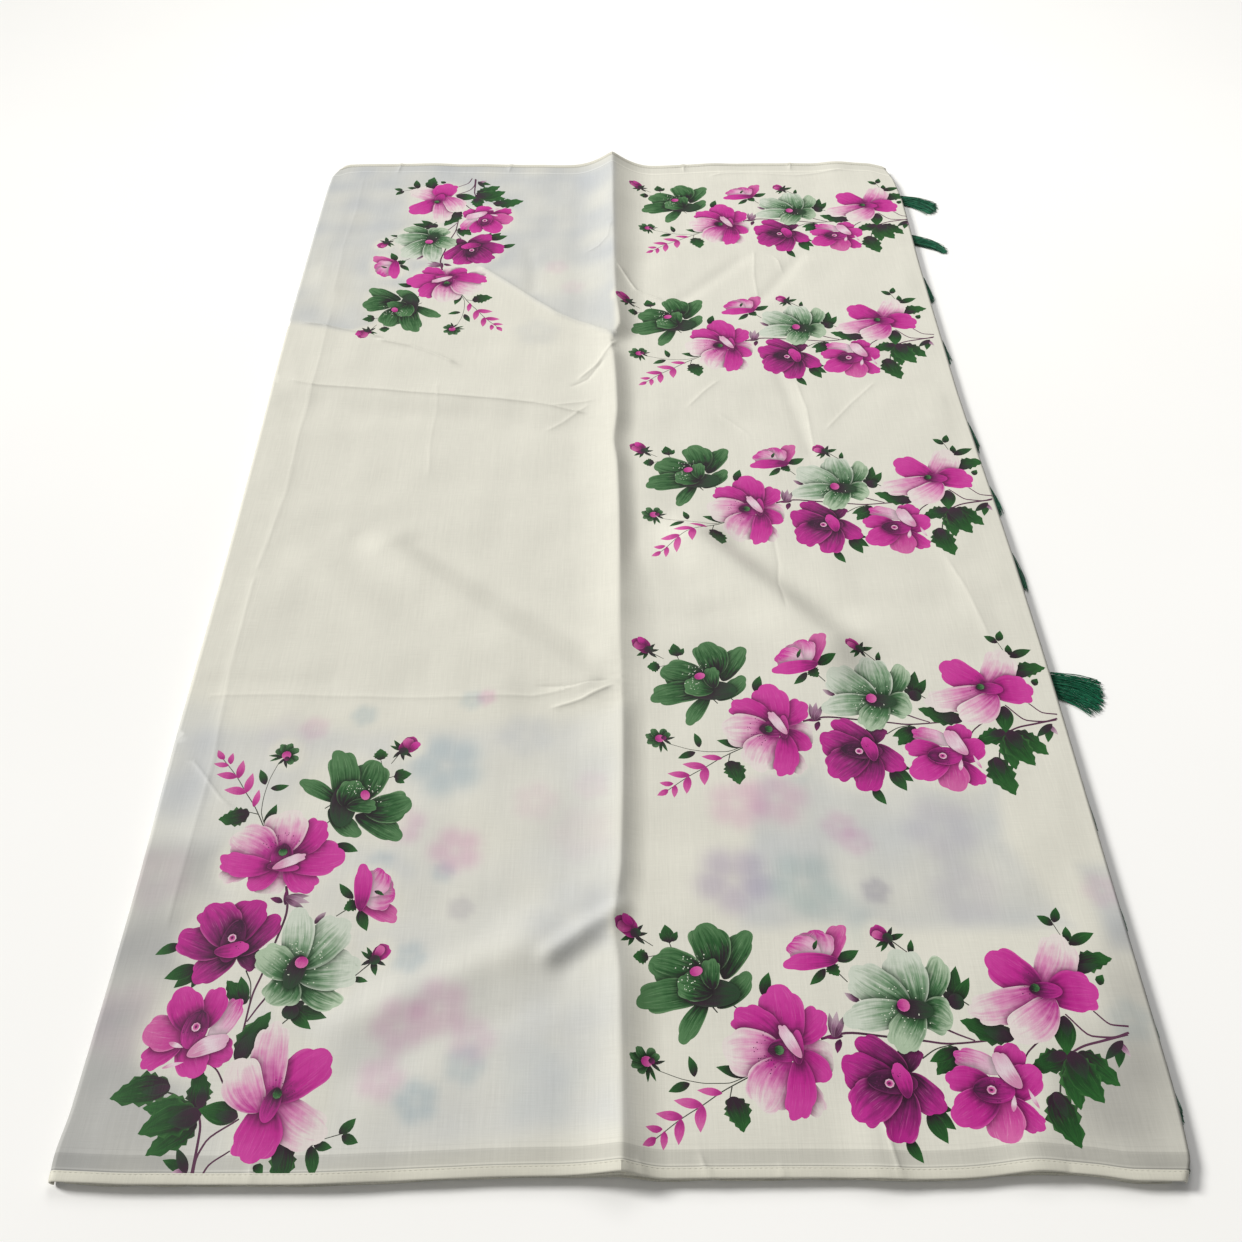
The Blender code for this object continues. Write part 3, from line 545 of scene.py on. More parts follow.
# Strokes of the spray, lowest first: root x and y, tip x and y, width, form, ink
STROKES = (
    # Leaves at the right
    (-20, 42, 6, 47, 13, "saw", "leaf"), (-22, 39, -4, 43, 7, "leaf", "dusk"),
    (-7, 29, -3, 36, 6, "leaf", "leaf"), (-26, 71, -35, 78, 6.5, "leaf", "leaf"),
    (-25, 73, -21, 84, 6.5, "leaf", "leaf"), (-19, 59, -18, 70, 6, "leaf", "leaf"),
    (-19, 57, -1, 65, 8, "leaf", "leaf"), (-3, -7, -9, -24, 6.6, "leaf", "leaf"),
    (-4, -8, 0, -17, 4, "leaf", "mauve"), (-2, -7, -16, -19, 6, "leaf", "dusk"),
    (-37, -16, -62, -24, 13, "saw", "leaf"), (-38, -15, -52, -19, 7, "leaf", "dusk"),
    (-31, -14, -11, -35, 15, "saw", "leaf"), (-37, -19, -38, -49, 13, "saw", "leaf"),
    (-36, -15, -23, -45, 18, "saw", "leaf"), (-37, -13, -30, -31, 12, "leaf", "dusk"),
    (-34, 9, -38, -16, 14, "leaf", "leaf"), (-34, 9, -35, -5, 8, "leaf", "dusk"),
    (-51, -38, -43, -71, 18, "saw", "leaf"), (-51, -38, -47, -54, 7, "leaf", "dusk"),
    # Leaves in the middle
    (-100, 16, -95, 42, 9.5, "leaf", "leaf"), (-101, 17, -88, 34, 8, "leaf", "leaf"),
    (-96, 15, -107, 26, 7, "leaf", "dusk"), (-104, 18, -94, 18, 11, "round", "dusk"),
    (-68, -5, -99, 6, 14, "saw", "leaf"), (-68, -6, -86, 0, 10, "leaf", "dusk"),
    (-104, -11, -119, -28, 10.5, "saw", "leaf"), (-105, -12, -122, -20, 8, "leaf", "leaf"),
    (-126, -46, -113, -60, 9, "leaf", "leaf"), (-128, -50, -119, -68, 10, "leaf", "leaf"),
    (-129, -45, -113, -49, 7, "leaf", "leaf"), (-142, -64, -135, -79, 7.5, "leaf", "leaf"),
    (-174, -6, -177, -15, 4.4, "leaf", "plum"), (-172, -4, -185, -5, 3.4, "leaf", "plum"),
    (-178, -5, -179, 11, 4.5, "leaf", "mauve"), (-178, -5, -174, 12, 5, "leaf", "mauve"),
    (-177, -5, -170, 9, 4.5, "leaf", "mauve"), (-159, 18, -168, 24, 4.6, "leaf", "mauve"),
    # Leaves and sprigs at the left
    (-276, 58, -279, 71, 9, "leaf", "leaf"), (-278, 59, -283, 65, 5, "leaf", "leaf"),
    (-275, 59, -271, 66, 5, "leaf", "leaf"), (-290, 48, -300, 48, 8.5, "saw", "leaf"),
    (-219, 22, -214, 38, 7.5, "leaf", "leaf"), (-264, -29, -267, -16, 5.5, "leaf", "leaf"),
    (-267, -33, -280, -38, 6, "leaf", "leaf"), (-233, -29, -251, -23, 7, "leaf", "leaf"),
    (-243, -41, -237, -62, 13.5, "saw", "leaf"),
    (-248, -39, -263, -37, 5, "leaf", "rose"), (-260, -46, -277, -43, 6.4, "leaf", "rose"),
    (-260, -46, -262, -62, 7, "leaf", "rose"), (-272, -53, -288, -51, 6, "leaf", "rose"),
    (-273, -54, -275, -69, 6.2, "leaf", "rose"), (-284, -60, -294, -59, 4.6, "leaf", "rose"),
    (-283, -61, -284, -72, 4.6, "leaf", "rose"), (-288, -65, -296, -70, 5, "leaf", "rose"),
    # Small green flower with a pink heart
    (-290, -21, -281, -19, 2.4, "leaf", "dusk"), (-290, -21, -284, -26, 2.4, "leaf", "dusk"),
    (-291, -22, -287, -32, 2.6, "leaf", "leaf"), (-292, -22, -292, -33, 2.6, "leaf", "leaf"),
    (-292, -20, -297, -28, 6, "petal", "green"), (-292, -20, -302, -24, 6, "petal", "green"),
    (-292, -20, -303, -17, 6, "petal", "green"), (-292, -20, -298, -11, 6, "petal", "green"),
    (-291, -20, -289, -11, 6, "petal", "green"), (-290, -20, -285, -15, 5, "petal", "green"),
    (-296, -20, -289, -20, 6.8, "round", "rose"), (-291, -18, -288, -21, 4, "round", "plum"),
    # Buds
    (-299, 64, -290, 65, 3, "leaf", "dusk"), (-299, 64, -293, 71, 3, "leaf", "dusk"),
    (-299, 64, -303, 55, 3, "leaf", "leaf"), (-300, 64, -308, 58, 3.4, "leaf", "leaf"),
    (-299, 64, -292, 57, 3, "leaf", "dusk"), (-298, 62, -310, 74, 13.5, "petal", "magenta"),
    (-301, 68, -310, 68, 8, "petal", "rose"), (-300, 70, -306, 77, 6, "petal", "magenta"),
    (-301, 63, -295, 67, 7, "round", "dusk"),
    (-135, 61, -124, 65, 4.5, "leaf", "leaf"), (-135, 61, -131, 70, 3, "leaf", "dusk"),
    (-135, 61, -141, 52, 3, "leaf", "leaf"), (-135, 61, -131, 54, 3, "leaf", "dusk"),
    (-135, 61, -144, 55, 3, "leaf", "leaf"), (-135, 61, -145, 69, 11, "petal", "magenta"),
    (-137, 62, -145, 65, 6, "petal", "rose"), (-138, 60, -132, 64, 7, "round", "dusk"),
    (-122, 50, -120, 61, 4.4, "leaf", "leaf"),
    # Dark green flower
    (-248, 14, -226, 37, 14, "petal", "green"), (-243, 33, -225, 66, 17, "petal", "green"),
    (-247, 38, -256, 71, 26, "petal", "green"), (-254, 34, -289, 45, 27, "petal", "green"),
    (-252, 24, -298, 18, 22, "petal", "green"), (-254, 19, -271, -8, 12.5, "petal", "green"),
    (-270, 24, -233, 24, 19, "round", "dusk"), (-250, 24, -272, 31, 20, "petal", "green"),
    (-250, 26, -250, 47, 13, "petal", "green"), (-264, 37, -256, 40, 6.5, "round", "rose"),
    # Large magenta flower with two pale petals
    (-203, -15, -180, -22, 24, "petal", "blush"), (-204, -27, -191, -52, 17, "petal", "blush"),
    (-206, -8, -183, 12, 20, "petal", "magenta"), (-200, -14, -184, -31, 17, "petal", "magenta"),
    (-207, -14, -210, 29, 28, "petal", "magenta"), (-209, -10, -238, 11, 23, "petal", "magenta"),
    (-210, -13, -246, -14, 31, "petal", "blush"), (-207, -18, -225, -49, 29, "petal", "blush"),
    (-200, -17, -206, -55, 18, "petal", "magenta"), (-219, -13, -198, -13, 15, "round", "wine"),
    (-201, -22, -200, 0, 7, "round", "magenta"), (-199, -18, -210, 3, 7.6, "petal", "white"),
    (-215, -13, -209, -13, 6.2, "round", "green"),
    # Small pink flower
    (-171, 46, -155, 53, 8, "leaf", "leaf"), (-175, 44, -170, 35, 8, "saw", "leaf"),
    (-178, 40, -189, 29, 6, "leaf", "leaf"), (-176, 43, -164, 71, 14, "petal", "rose"),
    (-182, 45, -182, 67, 24, "petal", "rimmed"), (-180, 46, -200, 57, 19, "petal", "rimmed"),
    (-169, 46, -204, 43, 12, "petal", "magenta"), (-184, 53, -181, 60, 3, "leaf", "leaf"),
    # Dark magenta flower
    (-140, -27, -128, -11, 15, "petal", "plum"), (-136, -27, -119, -50, 19, "petal", "wine"),
    (-136, -26, -164, -6, 19, "petal", "wine"), (-144, -31, -175, -21, 25, "petal", "wine"),
    (-137, -36, -149, -68, 22, "petal", "wine"), (-142, -35, -171, -54, 27, "petal", "wine"),
    (-161, -31, -131, -33, 15, "round", "plum"), (-138, -42, -143, -21, 10.5, "petal", "magenta"),
    (-151, -33, -145, -33, 5.6, "round", "white"), (-150, -33, -146, -33, 4, "round", "rose"),
    (-149, -33, -147, -33, 1.8, "round", "plum"),
    # Pale green flower
    (-120, 16, -104, 48, 17, "petal", "fern"), (-124, 11, -104, 4, 25, "petal", "fern"),
    (-124, 14, -129, 54, 28, "petal", "mist"), (-128, 15, -163, 38, 28, "petal", "mist"),
    (-125, 12, -170, 6, 21, "petal", "mist"), (-122, 14, -140, -13, 22, "petal", "fern"),
    (-137, 15, -114, 12, 13, "round", "dusk"), (-136, 16, -128, 16, 8.6, "round", "rose"),
    # Magenta flower with white lights
    (-77, -34, -70, -9, 20, "petal", "magenta"), (-78, -42, -58, -24, 20, "petal", "magenta"),
    (-77, -42, -63, -61, 16, "petal", "magenta"), (-78, -26, -107, -16, 14, "petal", "rimmed"),
    (-84, -37, -114, -30, 17, "petal", "magenta"), (-84, -39, -86, -68, 23, "petal", "rose"),
    (-84, -38, -113, -55, 22, "petal", "magenta"), (-99, -37, -74, -37, 16, "round", "wine"),
    (-70, -36, -81, -14, 11.5, "petal", "white"), (-78, -50, -75, -40, 3.2, "leaf", "white"),
    (-62, -48, -66, -36, 2.6, "leaf", "white"), (-91, -37, -85, -37, 5.6, "round", "white"),
    (-90, -37, -86, -37, 3.8, "round", "rose"), (-89, -37, -87, -37, 1.6, "round", "plum"),
    # Magenta and white flower
    (-44, 26, -23, 63, 27, "petal", "blush"), (-42, 23, -9, 23, 28, "petal", "magenta"),
    (-44, 26, -73, 50, 27, "petal", "magenta"), (-45, 25, -92, 11, 23, "petal", "blush"),
    (-37, 20, -69, -4, 25, "petal", "blush"), (-52, 26, -31, 25, 11, "round", "wine"),
    (-51, 27, -45, 27, 5.6, "round", "green"),
)
# Stamens: x, y, inner and outer reach, first and last angle in degrees, how many, ink
STAMENS = (
    (-260, 38, 6, 14, 60, 260, 34, "dot"), (-212, -13, 7, 16, 110, 250, 30, "speck"),
    (-132, 16, 7, 19, 20, 330, 44, "dot"), (-148, -33, 5, 10, 20, 330, 24, "speck"),
    (-88, -37, 5, 10, 20, 330, 24, "speck"), (-48, 27, 5, 10, 60, 300, 22, "speck"),
)
STAMEN_SIZES = (0.5, 1.0)
# The spray's length, and where along it the cloth's pull bows it most
SPRAY_LENGTH = 318.0
BOW_MIDDLE = 0.58
# Where each spray's stems end, how far it is turned in degrees, and how far the cloth's pull bows it
PALLU_SPRAYS = (
    (314, -486, 0, 0), (328, -243, 0.4, 2), (329, -5, 0.5, 0), (319, 236, 2.5, 4), (333, 456, 0.5, 0),
)
BODY_SPRAYS = ((-222, -573, -91.3, 15), (-174, 537, 89, 16))


class Stroke:
    """One inked shape: its root, direction, width and sideways bend, by which places on it are found."""

    def __init__(self, root, tip, width, form, ink, seed):
        self.root = np.array(root, float)
        self.length = math.dist(root, tip)
        self.ahead = (np.array(tip, float) - self.root) / self.length
        self.aside = np.array((-self.ahead[1], self.ahead[0]))
        self.width, self.form, self.ink = width, FORMS[form], INK_NAMES.index(ink)
        self.over = form in ("petal", "round") and min(width, self.length) > SHADING_FROM
        self.chance = random.Random(seed)
        self.bend = 0.0
        if form != "round":
            self.bend = self.chance.uniform(-LARGEST_BEND, LARGEST_BEND) * width

    def outline(self):
        """Points round the stroke, with lobes at a petal's tip or teeth along a leaf."""
        form, full, points = self.form, self.form["full"], []
        size = max(self.length, self.width)
        toothed = form["tip"] > 1.0
        lobes = self.chance.randint(*form["lobes"]) if form["lobes"] and size > LOBED_FROM else 0
        steps = max(FEWEST_STEPS, min(MOST_STEPS, round(size / STROKE_STEP)))
        if toothed and lobes:
            steps = 3 * lobes
        start = self.chance.uniform(-0.8, 0.8)
        for side in (1.0, -1.0):
            order = range(steps) if side > 0 else range(steps, 0, -1)
            for step in order:
                turn = math.pi * step / steps
                first = turn < math.pi / 2.0
                along = full - (full if first else 1.0 - full) * math.cos(turn)
                half = max(0.0, math.sin(turn)) ** (2.0 * (form["root"] if first else form["tip"]))
                if toothed and lobes:
                    tooth = (along * lobes + (0.3 if side > 0 else 0.7)) % 1.0
                    half *= 1.0 + form["depth"] * (0.7 - tooth) * 2.0
                elif lobes:
                    from_tip = math.pi - turn
                    fade = max(0.0, 1.0 - (from_tip / 2.1) ** 2)
                    lobe = abs(math.cos(side * from_tip * lobes / 2.0 + start)) - 0.75
                    along = full + (along - full) * (1.0 + form["depth"] * lobe * fade)
                    half *= 1.0 + form["depth"] * lobe * fade
                place = self.root + self.ahead * along * self.length
                bent = self.bend * math.sin(math.pi * min(max(along, 0.0), 1.0))
                points.append(place + self.aside * (side * half * self.width / 2.0 + bent))
        return points

    def local(self, places):
        """The share across, from -1 to 1, and the share along of places on the stroke."""
        from_root = places - self.root
        along = np.clip(from_root @ self.ahead / self.length, 0.001, 0.999)
        form, full = self.form, self.form["full"]
        before = 1.0 - ((full - along) / full) ** 2
        after = 1.0 - ((along - full) / (1.0 - full)) ** 2
        half = np.where(along < full, np.abs(before) ** form["root"], np.abs(after) ** form["tip"])
        aside = from_root @ self.aside - self.bend * np.sin(math.pi * along)
        across = aside / np.maximum(half * self.width / 2.0, 0.2)
        return np.clip(across, -1.0, 1.0), along


class Stem:
    """A thin inked line along a path, which tapers a little."""

    def __init__(self, path, width, ink):
        self.ink, self.over = INK_NAMES.index(ink), False
        self.path, self.width = np.array(path, float), width

    def outline(self):
        """The two sides of the line, on a smooth curve through its path."""
        path = self.path
        if len(path) > 2:
            places = np.linspace(0.0, len(path) - 1.0, 4 * len(path))
            table = [(index, *point) for index, point in enumerate(path)]
            path = np.stack(read_table(table, places), -1)
        ahead = np.gradient(path, axis=0)
        ahead /= np.linalg.norm(ahead, axis=1, keepdims=True)
        aside = np.stack([-ahead[:, 1], ahead[:, 0]], -1)
        half = np.linspace(self.width, self.width * 0.7, len(path))[:, None] / 2.0
        return [*(path + aside * half), *(path - aside * half)[::-1]]

    def local(self, places):
        return np.zeros(len(places)), np.full(len(places), 0.5)


def spray_shapes(end_x, end_y, turn, bow):
    """The stems, strokes and stamens of one spray, at its place on the cloth, lowest first."""
    cosine, sine = math.cos(math.radians(turn)), math.sin(math.radians(turn))

    def at(x, y):
        y += bow * (0.5 - 4.0 * (-x / SPRAY_LENGTH - BOW_MIDDLE) ** 2)
        return (end_x + x * cosine - y * sine, end_y + x * sine + y * cosine)

    shapes = [Stem([at(*point) for point in path], width, ink) for path, width, ink in STEMS]
    for seed, (root_x, root_y, tip_x, tip_y, width, form, ink) in enumerate(STROKES):
        shapes.append(Stroke(at(root_x, root_y), at(tip_x, tip_y), width, form, ink, seed))
    chance = random.Random(5)
    for x, y, inner, outer, first, last, count, ink in STAMENS:
        for _ in range(count):
            reach, angle = chance.uniform(inner, outer), math.radians(chance.uniform(first, last))
            dot_x, dot_y = x + reach * math.cos(angle), y + reach * math.sin(angle)
            size = chance.uniform(*STAMEN_SIZES)
            shapes.append(Stroke(at(dot_x, dot_y), at(dot_x + size, dot_y), size, "round", ink, 0))
    return shapes


def inside(outline, places):
    """Which places lie inside a closed outline."""
    found = np.zeros(len(places), bool)
    for start, end in zip(outline, np.roll(outline, -1, 0)):
        level = (start[1] > places[:, 1]) != (end[1] > places[:, 1])
        if level.any():
            slope = (end[0] - start[0]) / (end[1] - start[1])
            found ^= level & (places[:, 0] < start[0] + (places[:, 1] - start[1]) * slope)
    return found


def outline_distance(outline, places):
    """How far places are from a closed outline."""
    ahead = np.roll(outline, -1, 0) - outline
    length = np.maximum((ahead * ahead).sum(1), 1e-9)
    from_start = places[:, None] - outline[None]
    along = np.clip((from_start * ahead[None]).sum(2) / length, 0.0, 1.0)
    return np.linalg.norm(from_start - along[..., None] * ahead[None], axis=2).min(1)


# The flat cloth's mesh. Its columns beside the middle crease, by their distance from the crest
RIDGE_COLUMNS = (0.8, 1.6, 2.5, 3.6, 5.0, 6.7, 8.7, 11.0, 13.5, 16.5, 20.0, 24.0, 28.0, 32.0)
# Its steps along the crease, over the flat cloth and round the side folds, and how far it keeps from
# the selvedges
RIDGE_STEP = 2.0
CLOTH_STEP = 3.6
ROLL_STEP = 1.0
SELVEDGE_GAP = 0.8
# Points along each thin crease: how far aside in half widths, the step along it, and how far they keep
# from the rest of the mesh, from the middle crease and from the cloth's side
CREASE_ASIDE = (-1.7, -0.7, 0.0, 0.7, 1.7)
CREASE_STEP = 2.6
CREASE_CLEAR = 1.0
CREASE_FROM_RIDGE = 1.2
CREASE_FROM_SIDE = 24.0
# How far the ink of a petal darkens the ones that it is painted over
UNDER_REACH = 1.9
# The right fold's outer side is darkened with painted shade: how much darker it is, and how far past the fold
FOLD_SHADE = 0.7
FOLD_SHADE_REACH = 4.0


def ridge_x(y):
    return read_table(RIDGE, y)[0]


def near_y(x):
    return read_table(NEAR_SIDE, x)[0]


def far_y(x):
    return read_table(FAR_SIDE, x)[0]


def side_end(outward, side_table, roll, y):
    """Where the flat cloth would end at its side, with the length that goes round the side fold."""
    start = read_table(side_table, y)[0] - outward * roll["radius"]
    return start + outward * math.radians(roll["turn"]) * roll["radius"]


def crease_points():
    """Points along the thin creases, on their crests and both slopes, so that the mesh holds them."""
    points = []
    for path, _, half_width in CREASES:
        for start, end in zip(path, path[1:]):
            start, ahead = np.array(start, float), np.array(end, float) - np.array(start, float)
            length = np.linalg.norm(ahead)
            aside = np.array((-ahead[1], ahead[0])) / length
            for share in np.arange(0.0, 1.0, CREASE_STEP / length):
                for off in CREASE_ASIDE:
                    points.append(start + ahead * share + aside * off * half_width)
    return np.array(points)


def stretch_border(rows, side_x):
    """The flat cloth's edge: up the middle crease, along the far selvedge, down the side and back."""
    middle_near, middle_far = near_y(ridge_x(RIDGE[0][0])), far_y(ridge_x(RIDGE[-1][0]))
    ridge_rows = np.linspace(middle_near, middle_far, round((middle_far - middle_near) / RIDGE_STEP))
    ridge_line = np.stack([ridge_x(ridge_rows), ridge_rows], -1)
    side_line = np.stack([side_x(rows), rows], -1)
    count = round(abs(side_line[0][0] - ridge_line[0][0]) / CLOTH_STEP)
    shares = np.linspace(0.0, 1.0, count)[1:-1]
    near_x = side_line[0][0] + (ridge_line[0][0] - side_line[0][0]) * shares
    far_x = side_line[-1][0] + (ridge_line[-1][0] - side_line[-1][0]) * shares
    near_line = np.stack([near_x, near_y(near_x)], -1)
    far_line = np.stack([far_x, far_y(far_x)], -1)
    return np.concatenate([ridge_line, far_line[::-1], side_line[::-1], near_line])


def inner_points(rows, outward, roll, side_x):
    """Points within the flat cloth: a grid, with points of their own along the thin creases."""
    grid = []
    for y in rows:
        start, end = float(ridge_x(y)), float(side_x(y))
        roll_start = end - outward * math.radians(roll["turn"]) * roll["radius"]
        columns = [start + outward * step for step in RIDGE_COLUMNS]
        even = round(abs(roll_start - columns[-1]) / CLOTH_STEP)
        columns += list(np.linspace(columns[-1], roll_start, even)[1:])
        columns += list(np.linspace(roll_start, end, round(abs(end - roll_start) / ROLL_STEP))[1:-1])
        grid.append(np.stack([columns, np.full(len(columns), y)], -1))
    grid = np.concatenate(grid)
    clear = np.ones(len(grid), bool)
    for path, _, half_width in CREASES:
        from_path = along_path(path, grid[:, 0], grid[:, 1])[0]
        clear &= from_path > CREASE_ASIDE[-1] * half_width + CREASE_CLEAR
    pressed = crease_points()
    from_ridge = outward * (pressed[:, 0] - ridge_x(pressed[:, 1]))
    from_side = outward * (side_x(pressed[:, 1]) - pressed[:, 0])
    pressed = pressed[(from_ridge > CREASE_FROM_RIDGE) & (from_side > CREASE_FROM_SIDE)]
    points = np.concatenate([grid[clear], pressed])
    past_near = near_y(points[:, 0]) + SELVEDGE_GAP < points[:, 1]
    return points[past_near & (points[:, 1] < far_y(points[:, 0]) - SELVEDGE_GAP)]


def cut_cloth(border, outlines, points):
    """The flat cloth in triangles, cut along each outline: places, corners and middles of triangles."""
    places, edges = [], []
    for outline in [border] + outlines:
        first, count = len(places), len(outline)
        edges += [(first + index, first + (index + 1) % count) for index in range(count)]
        places += [Vector(point) for point in outline]
    places += [Vector(point) for point in points]
    flat, _, triangles, _, _, _ = delaunay_2d_cdt(places, edges, [], 0, 1e-3, False)
    flat, corners = np.array(flat), np.array(triangles)
    middles = flat[corners].mean(1)
    kept = inside(border, middles)
    return flat, corners[kept], middles[kept]


def top_strokes(outlines, middles):
    """The number of the topmost shape over each triangle, counted from 1, or 0 on the bare cloth."""
    top_shape = np.zeros(len(middles), int)
    for number, outline in enumerate(outlines, 1):
        near_by = np.nonzero((np.abs(middles - outline.mean(0)) < np.ptp(outline, axis=0)).all(1))[0]
        top_shape[near_by[inside(outline, middles[near_by])]] = number
    return top_shape


def stroke_marks(shapes, outlines, flat, corners, middles, top_shape):
    """At each triangle's corners: how dark it is under the petals above, and its place on its stroke."""
    under, across_along = np.zeros((len(corners), 3)), np.zeros((len(corners), 3, 2))
    for number, (shape, outline) in enumerate(zip(shapes, outlines), 1):
        if shape.over:
            reach = np.ptp(outline, axis=0) / 2.0 + 5.0
            near_by = (np.abs(middles - (outline.min(0) + outline.max(0)) / 2.0) < reach).all(1)
            near_by = np.nonzero(near_by & (top_shape > 0) & (top_shape < number))[0]
            away = outline_distance(outline, flat[corners[near_by]].reshape(-1, 2)).reshape(-1, 3)
            under[near_by] = np.maximum(under[near_by], np.exp(-away / UNDER_REACH))
        mine = np.nonzero(top_shape == number)[0]
        if len(mine):
            across, along = shape.local(flat[corners[mine]].reshape(-1, 2))
            across_along[mine] = np.stack([across, along], -1).reshape(-1, 3, 2)
    return under, across_along


def store(mesh, name, kind, domain, values):
    """Keep values at a mesh's points or corners, under the name by which its materials read them."""
    field = "value" if kind == "FLOAT" else "color"
    made = mesh.attributes.new(name, kind, domain)
    made.data.foreach_set(field, values.astype(np.float32).ravel())


def cloth_mesh(name, outward, side_table, roll, sprays):
    """One stretch of cloth: its plan is cut along every inked shape, then laid on the pad."""

    def side_x(y):
        return side_end(outward, side_table, roll, y)

    low_y, high_y = NEAR_SIDE[0][1], FAR_SIDE[0][1]
    rows = np.linspace(low_y, high_y, round((high_y - low_y) / CLOTH_STEP))
    border = stretch_border(rows, side_x)
    shapes = [shape for spray in sprays for shape in spray_shapes(*spray)]
    outlines = [np.array(shape.outline()) for shape in shapes]
    points = inner_points(rows, outward, roll, side_x)
    flat, corners, middles = cut_cloth(border, outlines, points)
    top_shape = top_strokes(outlines, middles)
    under, across_along = stroke_marks(shapes, outlines, flat, corners, middles, top_shape)
    used, corners = np.unique(corners, return_inverse=True)
    flat, corners = flat[used], corners.reshape(-1, 3)

    places, normals = drape(flat[:, 0], flat[:, 1])
    mesh = mesh_of(name, places, corners.tolist())
    for ink in INK_NAMES:
        mesh.materials.append(ink_materials[ink])
    inks = np.array([0] + [shape.ink for shape in shapes])
    mesh.polygons.foreach_set("material_index", inks[top_shape].astype(np.int32))
    stroke_map = mesh.uv_layers.new(name="stroke")
    stroke_map.uv.foreach_set("vector", across_along.astype(np.float32).ravel())
    flat_map = mesh.uv_layers.new(name="OFBake")
    spread = (flat[corners.ravel()] - flat.min(0)) / np.ptp(flat, axis=0)
    flat_map.uv.foreach_set("vector", (spread * 0.996 + 0.002).astype(np.float32).ravel())
    # The bare cloth's colour, with painted shade at the near corners and on the right fold's outer side
    tints = see_through_and_painted_shade(flat[:, 0], flat[:, 1])
    past_fold = flat[:, 0] - read_table(RIGHT_SIDE, flat[:, 1])[0] + RIGHT_ROLL["radius"]
    tints *= 1.0 - FOLD_SHADE * soft_step(past_fold / FOLD_SHADE_REACH)[:, None]
    store(mesh, "tint", "FLOAT_COLOR", "POINT", np.concatenate([tints, np.ones((len(flat), 1))], 1))
    store(mesh, "near_edge", "FLOAT", "POINT", flat[:, 1] - near_y(flat[:, 0]))
    store(mesh, "far_edge", "FLOAT", "POINT", far_y(flat[:, 0]) - flat[:, 1])
    own = np.array([0.0] + [random.Random(index).random() for index in range(len(shapes))])[top_shape]
    own = np.repeat(own[:, None], 3, 1)
    presses = np.stack([under, own, np.zeros_like(own), np.ones_like(own)], -1)
    store(mesh, "press", "FLOAT_COLOR", "CORNER", presses)
    mesh.shade_smooth()
    mesh.normals_split_custom_set_from_vertices([tuple(normal) for normal in normals])
    return add_object(name, mesh)


# Where other folds of the print lie close below and change the cloth's colour, and, in the zones with the
# tint "shade", painted shade that darkens the cloth towards its near corners: outline, softness of its edge,
# tint, strength
PRINT_BELOW_AND_PAINTED_SHADE = (
    (
        (
            (-345, 260), (-254, 238), (-200, 300), (-142, 357), (-96, 311), (-55, 269), (-24, 249),
            (4, 224), (4, 600), (-345, 600),
        ),
        9.0, "grey", 1.1,
    ),
    (((-345, -250), (-150, -262), (7, -244), (7, -545), (-80, -556), (-345, -600)), 26.0, "pale", 0.5),
    (((-345, -228), (-290, -236), (-284, -335), (-345, -335)), 22.0, "grey", 0.6),
    (((-345, -350), (-270, -360), (-254, -420), (-250, -600), (-345, -600)), 30.0, "shade", 1.4),
    (
        ((112, -270), (240, -262), (276, -300), (268, -350), (300, -416), (84, -418), (98, -340)),
        16.0, "grey", 0.9,
    ),
    (((316, -372), (350, -368), (350, -440), (322, -432)), 14.0, "grey", 0.9),
    (((318, -440), (350, -400), (350, -600), (240, -600), (258, -530)), 50.0, "shade", 1.6),
)
# Flowers of the folds below, blurred by the cloth over them: x, y, reach, tint, strength
BLURRED_FLOWERS = (
    (-118, -289, 27, "blue", 1.0), (-106, -359, 18, "pink", 1.0), (-144, -339, 15, "pink", 0.9),
    (-183, -244, 9, "blue", 0.8), (-104, -230, 8, "blue", 0.7), (-93, -228, 6, "pink", 0.9),
    (-218, -256, 10, "pink", 0.6), (-156, -368, 8, "blue", 0.7), (-113, -376, 7, "blue", 0.7),
    (-99, -403, 8, "dusk", 0.6), (-129, -438, 11, "blue", 0.8), (-130, -484, 17, "pink", 0.9),
    (-106, -472, 18, "pink", 0.9), (-85, -492, 14, "pink", 0.6), (-138, -516, 14, "pink", 0.8),
    (-115, -530, 13, "blue", 1.0), (-88, -508, 12, "blue", 0.7), (-42, -520, 26, "blue", 0.25),
    (-53, -320, 16, "pink", 0.35), (-14, -307, 12, "pink", 0.3), (-300, -480, 26, "pink", 0.35),
    (-304, -380, 24, "pink", 0.3), (88, -322, 20, "pink", 0.8), (116, -317, 22, "pink", 0.9),
    (158, -340, 12, "pink", 0.7), (168, -352, 11, "pink", 0.7), (82, -382, 26, "plum", 1.2),
    (128, -384, 24, "green", 1.0), (176, -390, 9, "dusk", 0.9), (228, -342, 26, "plum", 0.5),
    (150, -412, 22, "green", 0.6), (236, -392, 24, "plum", 0.4), (132, -292, 12, "blue", 0.6),
    (326, -390, 12, "pink", 0.5), (320, -480, 14, "blue", 0.6), (-58, 356, 12, "pink", 0.4),
    (-40, 318, 12, "pink", 0.3), (-24, -412, 30, "grey", 0.5), (-34, -494, 32, "grey", 0.5),
    (-150, -378, 18, "grey", 0.5), (-74, 238, 22, "grey", 0.4), (-236, -264, 22, "plum", 0.3),
    (-62, -262, 20, "grey", 0.5), (-20, -346, 22, "pink", 0.2),
)
# Their five petals: how far out and how large, as shares of the reach, and how far their edges blur
BLURRED_OUT = 0.52
BLURRED_SIZE = 0.46
BLURRED_EDGE = 1.5
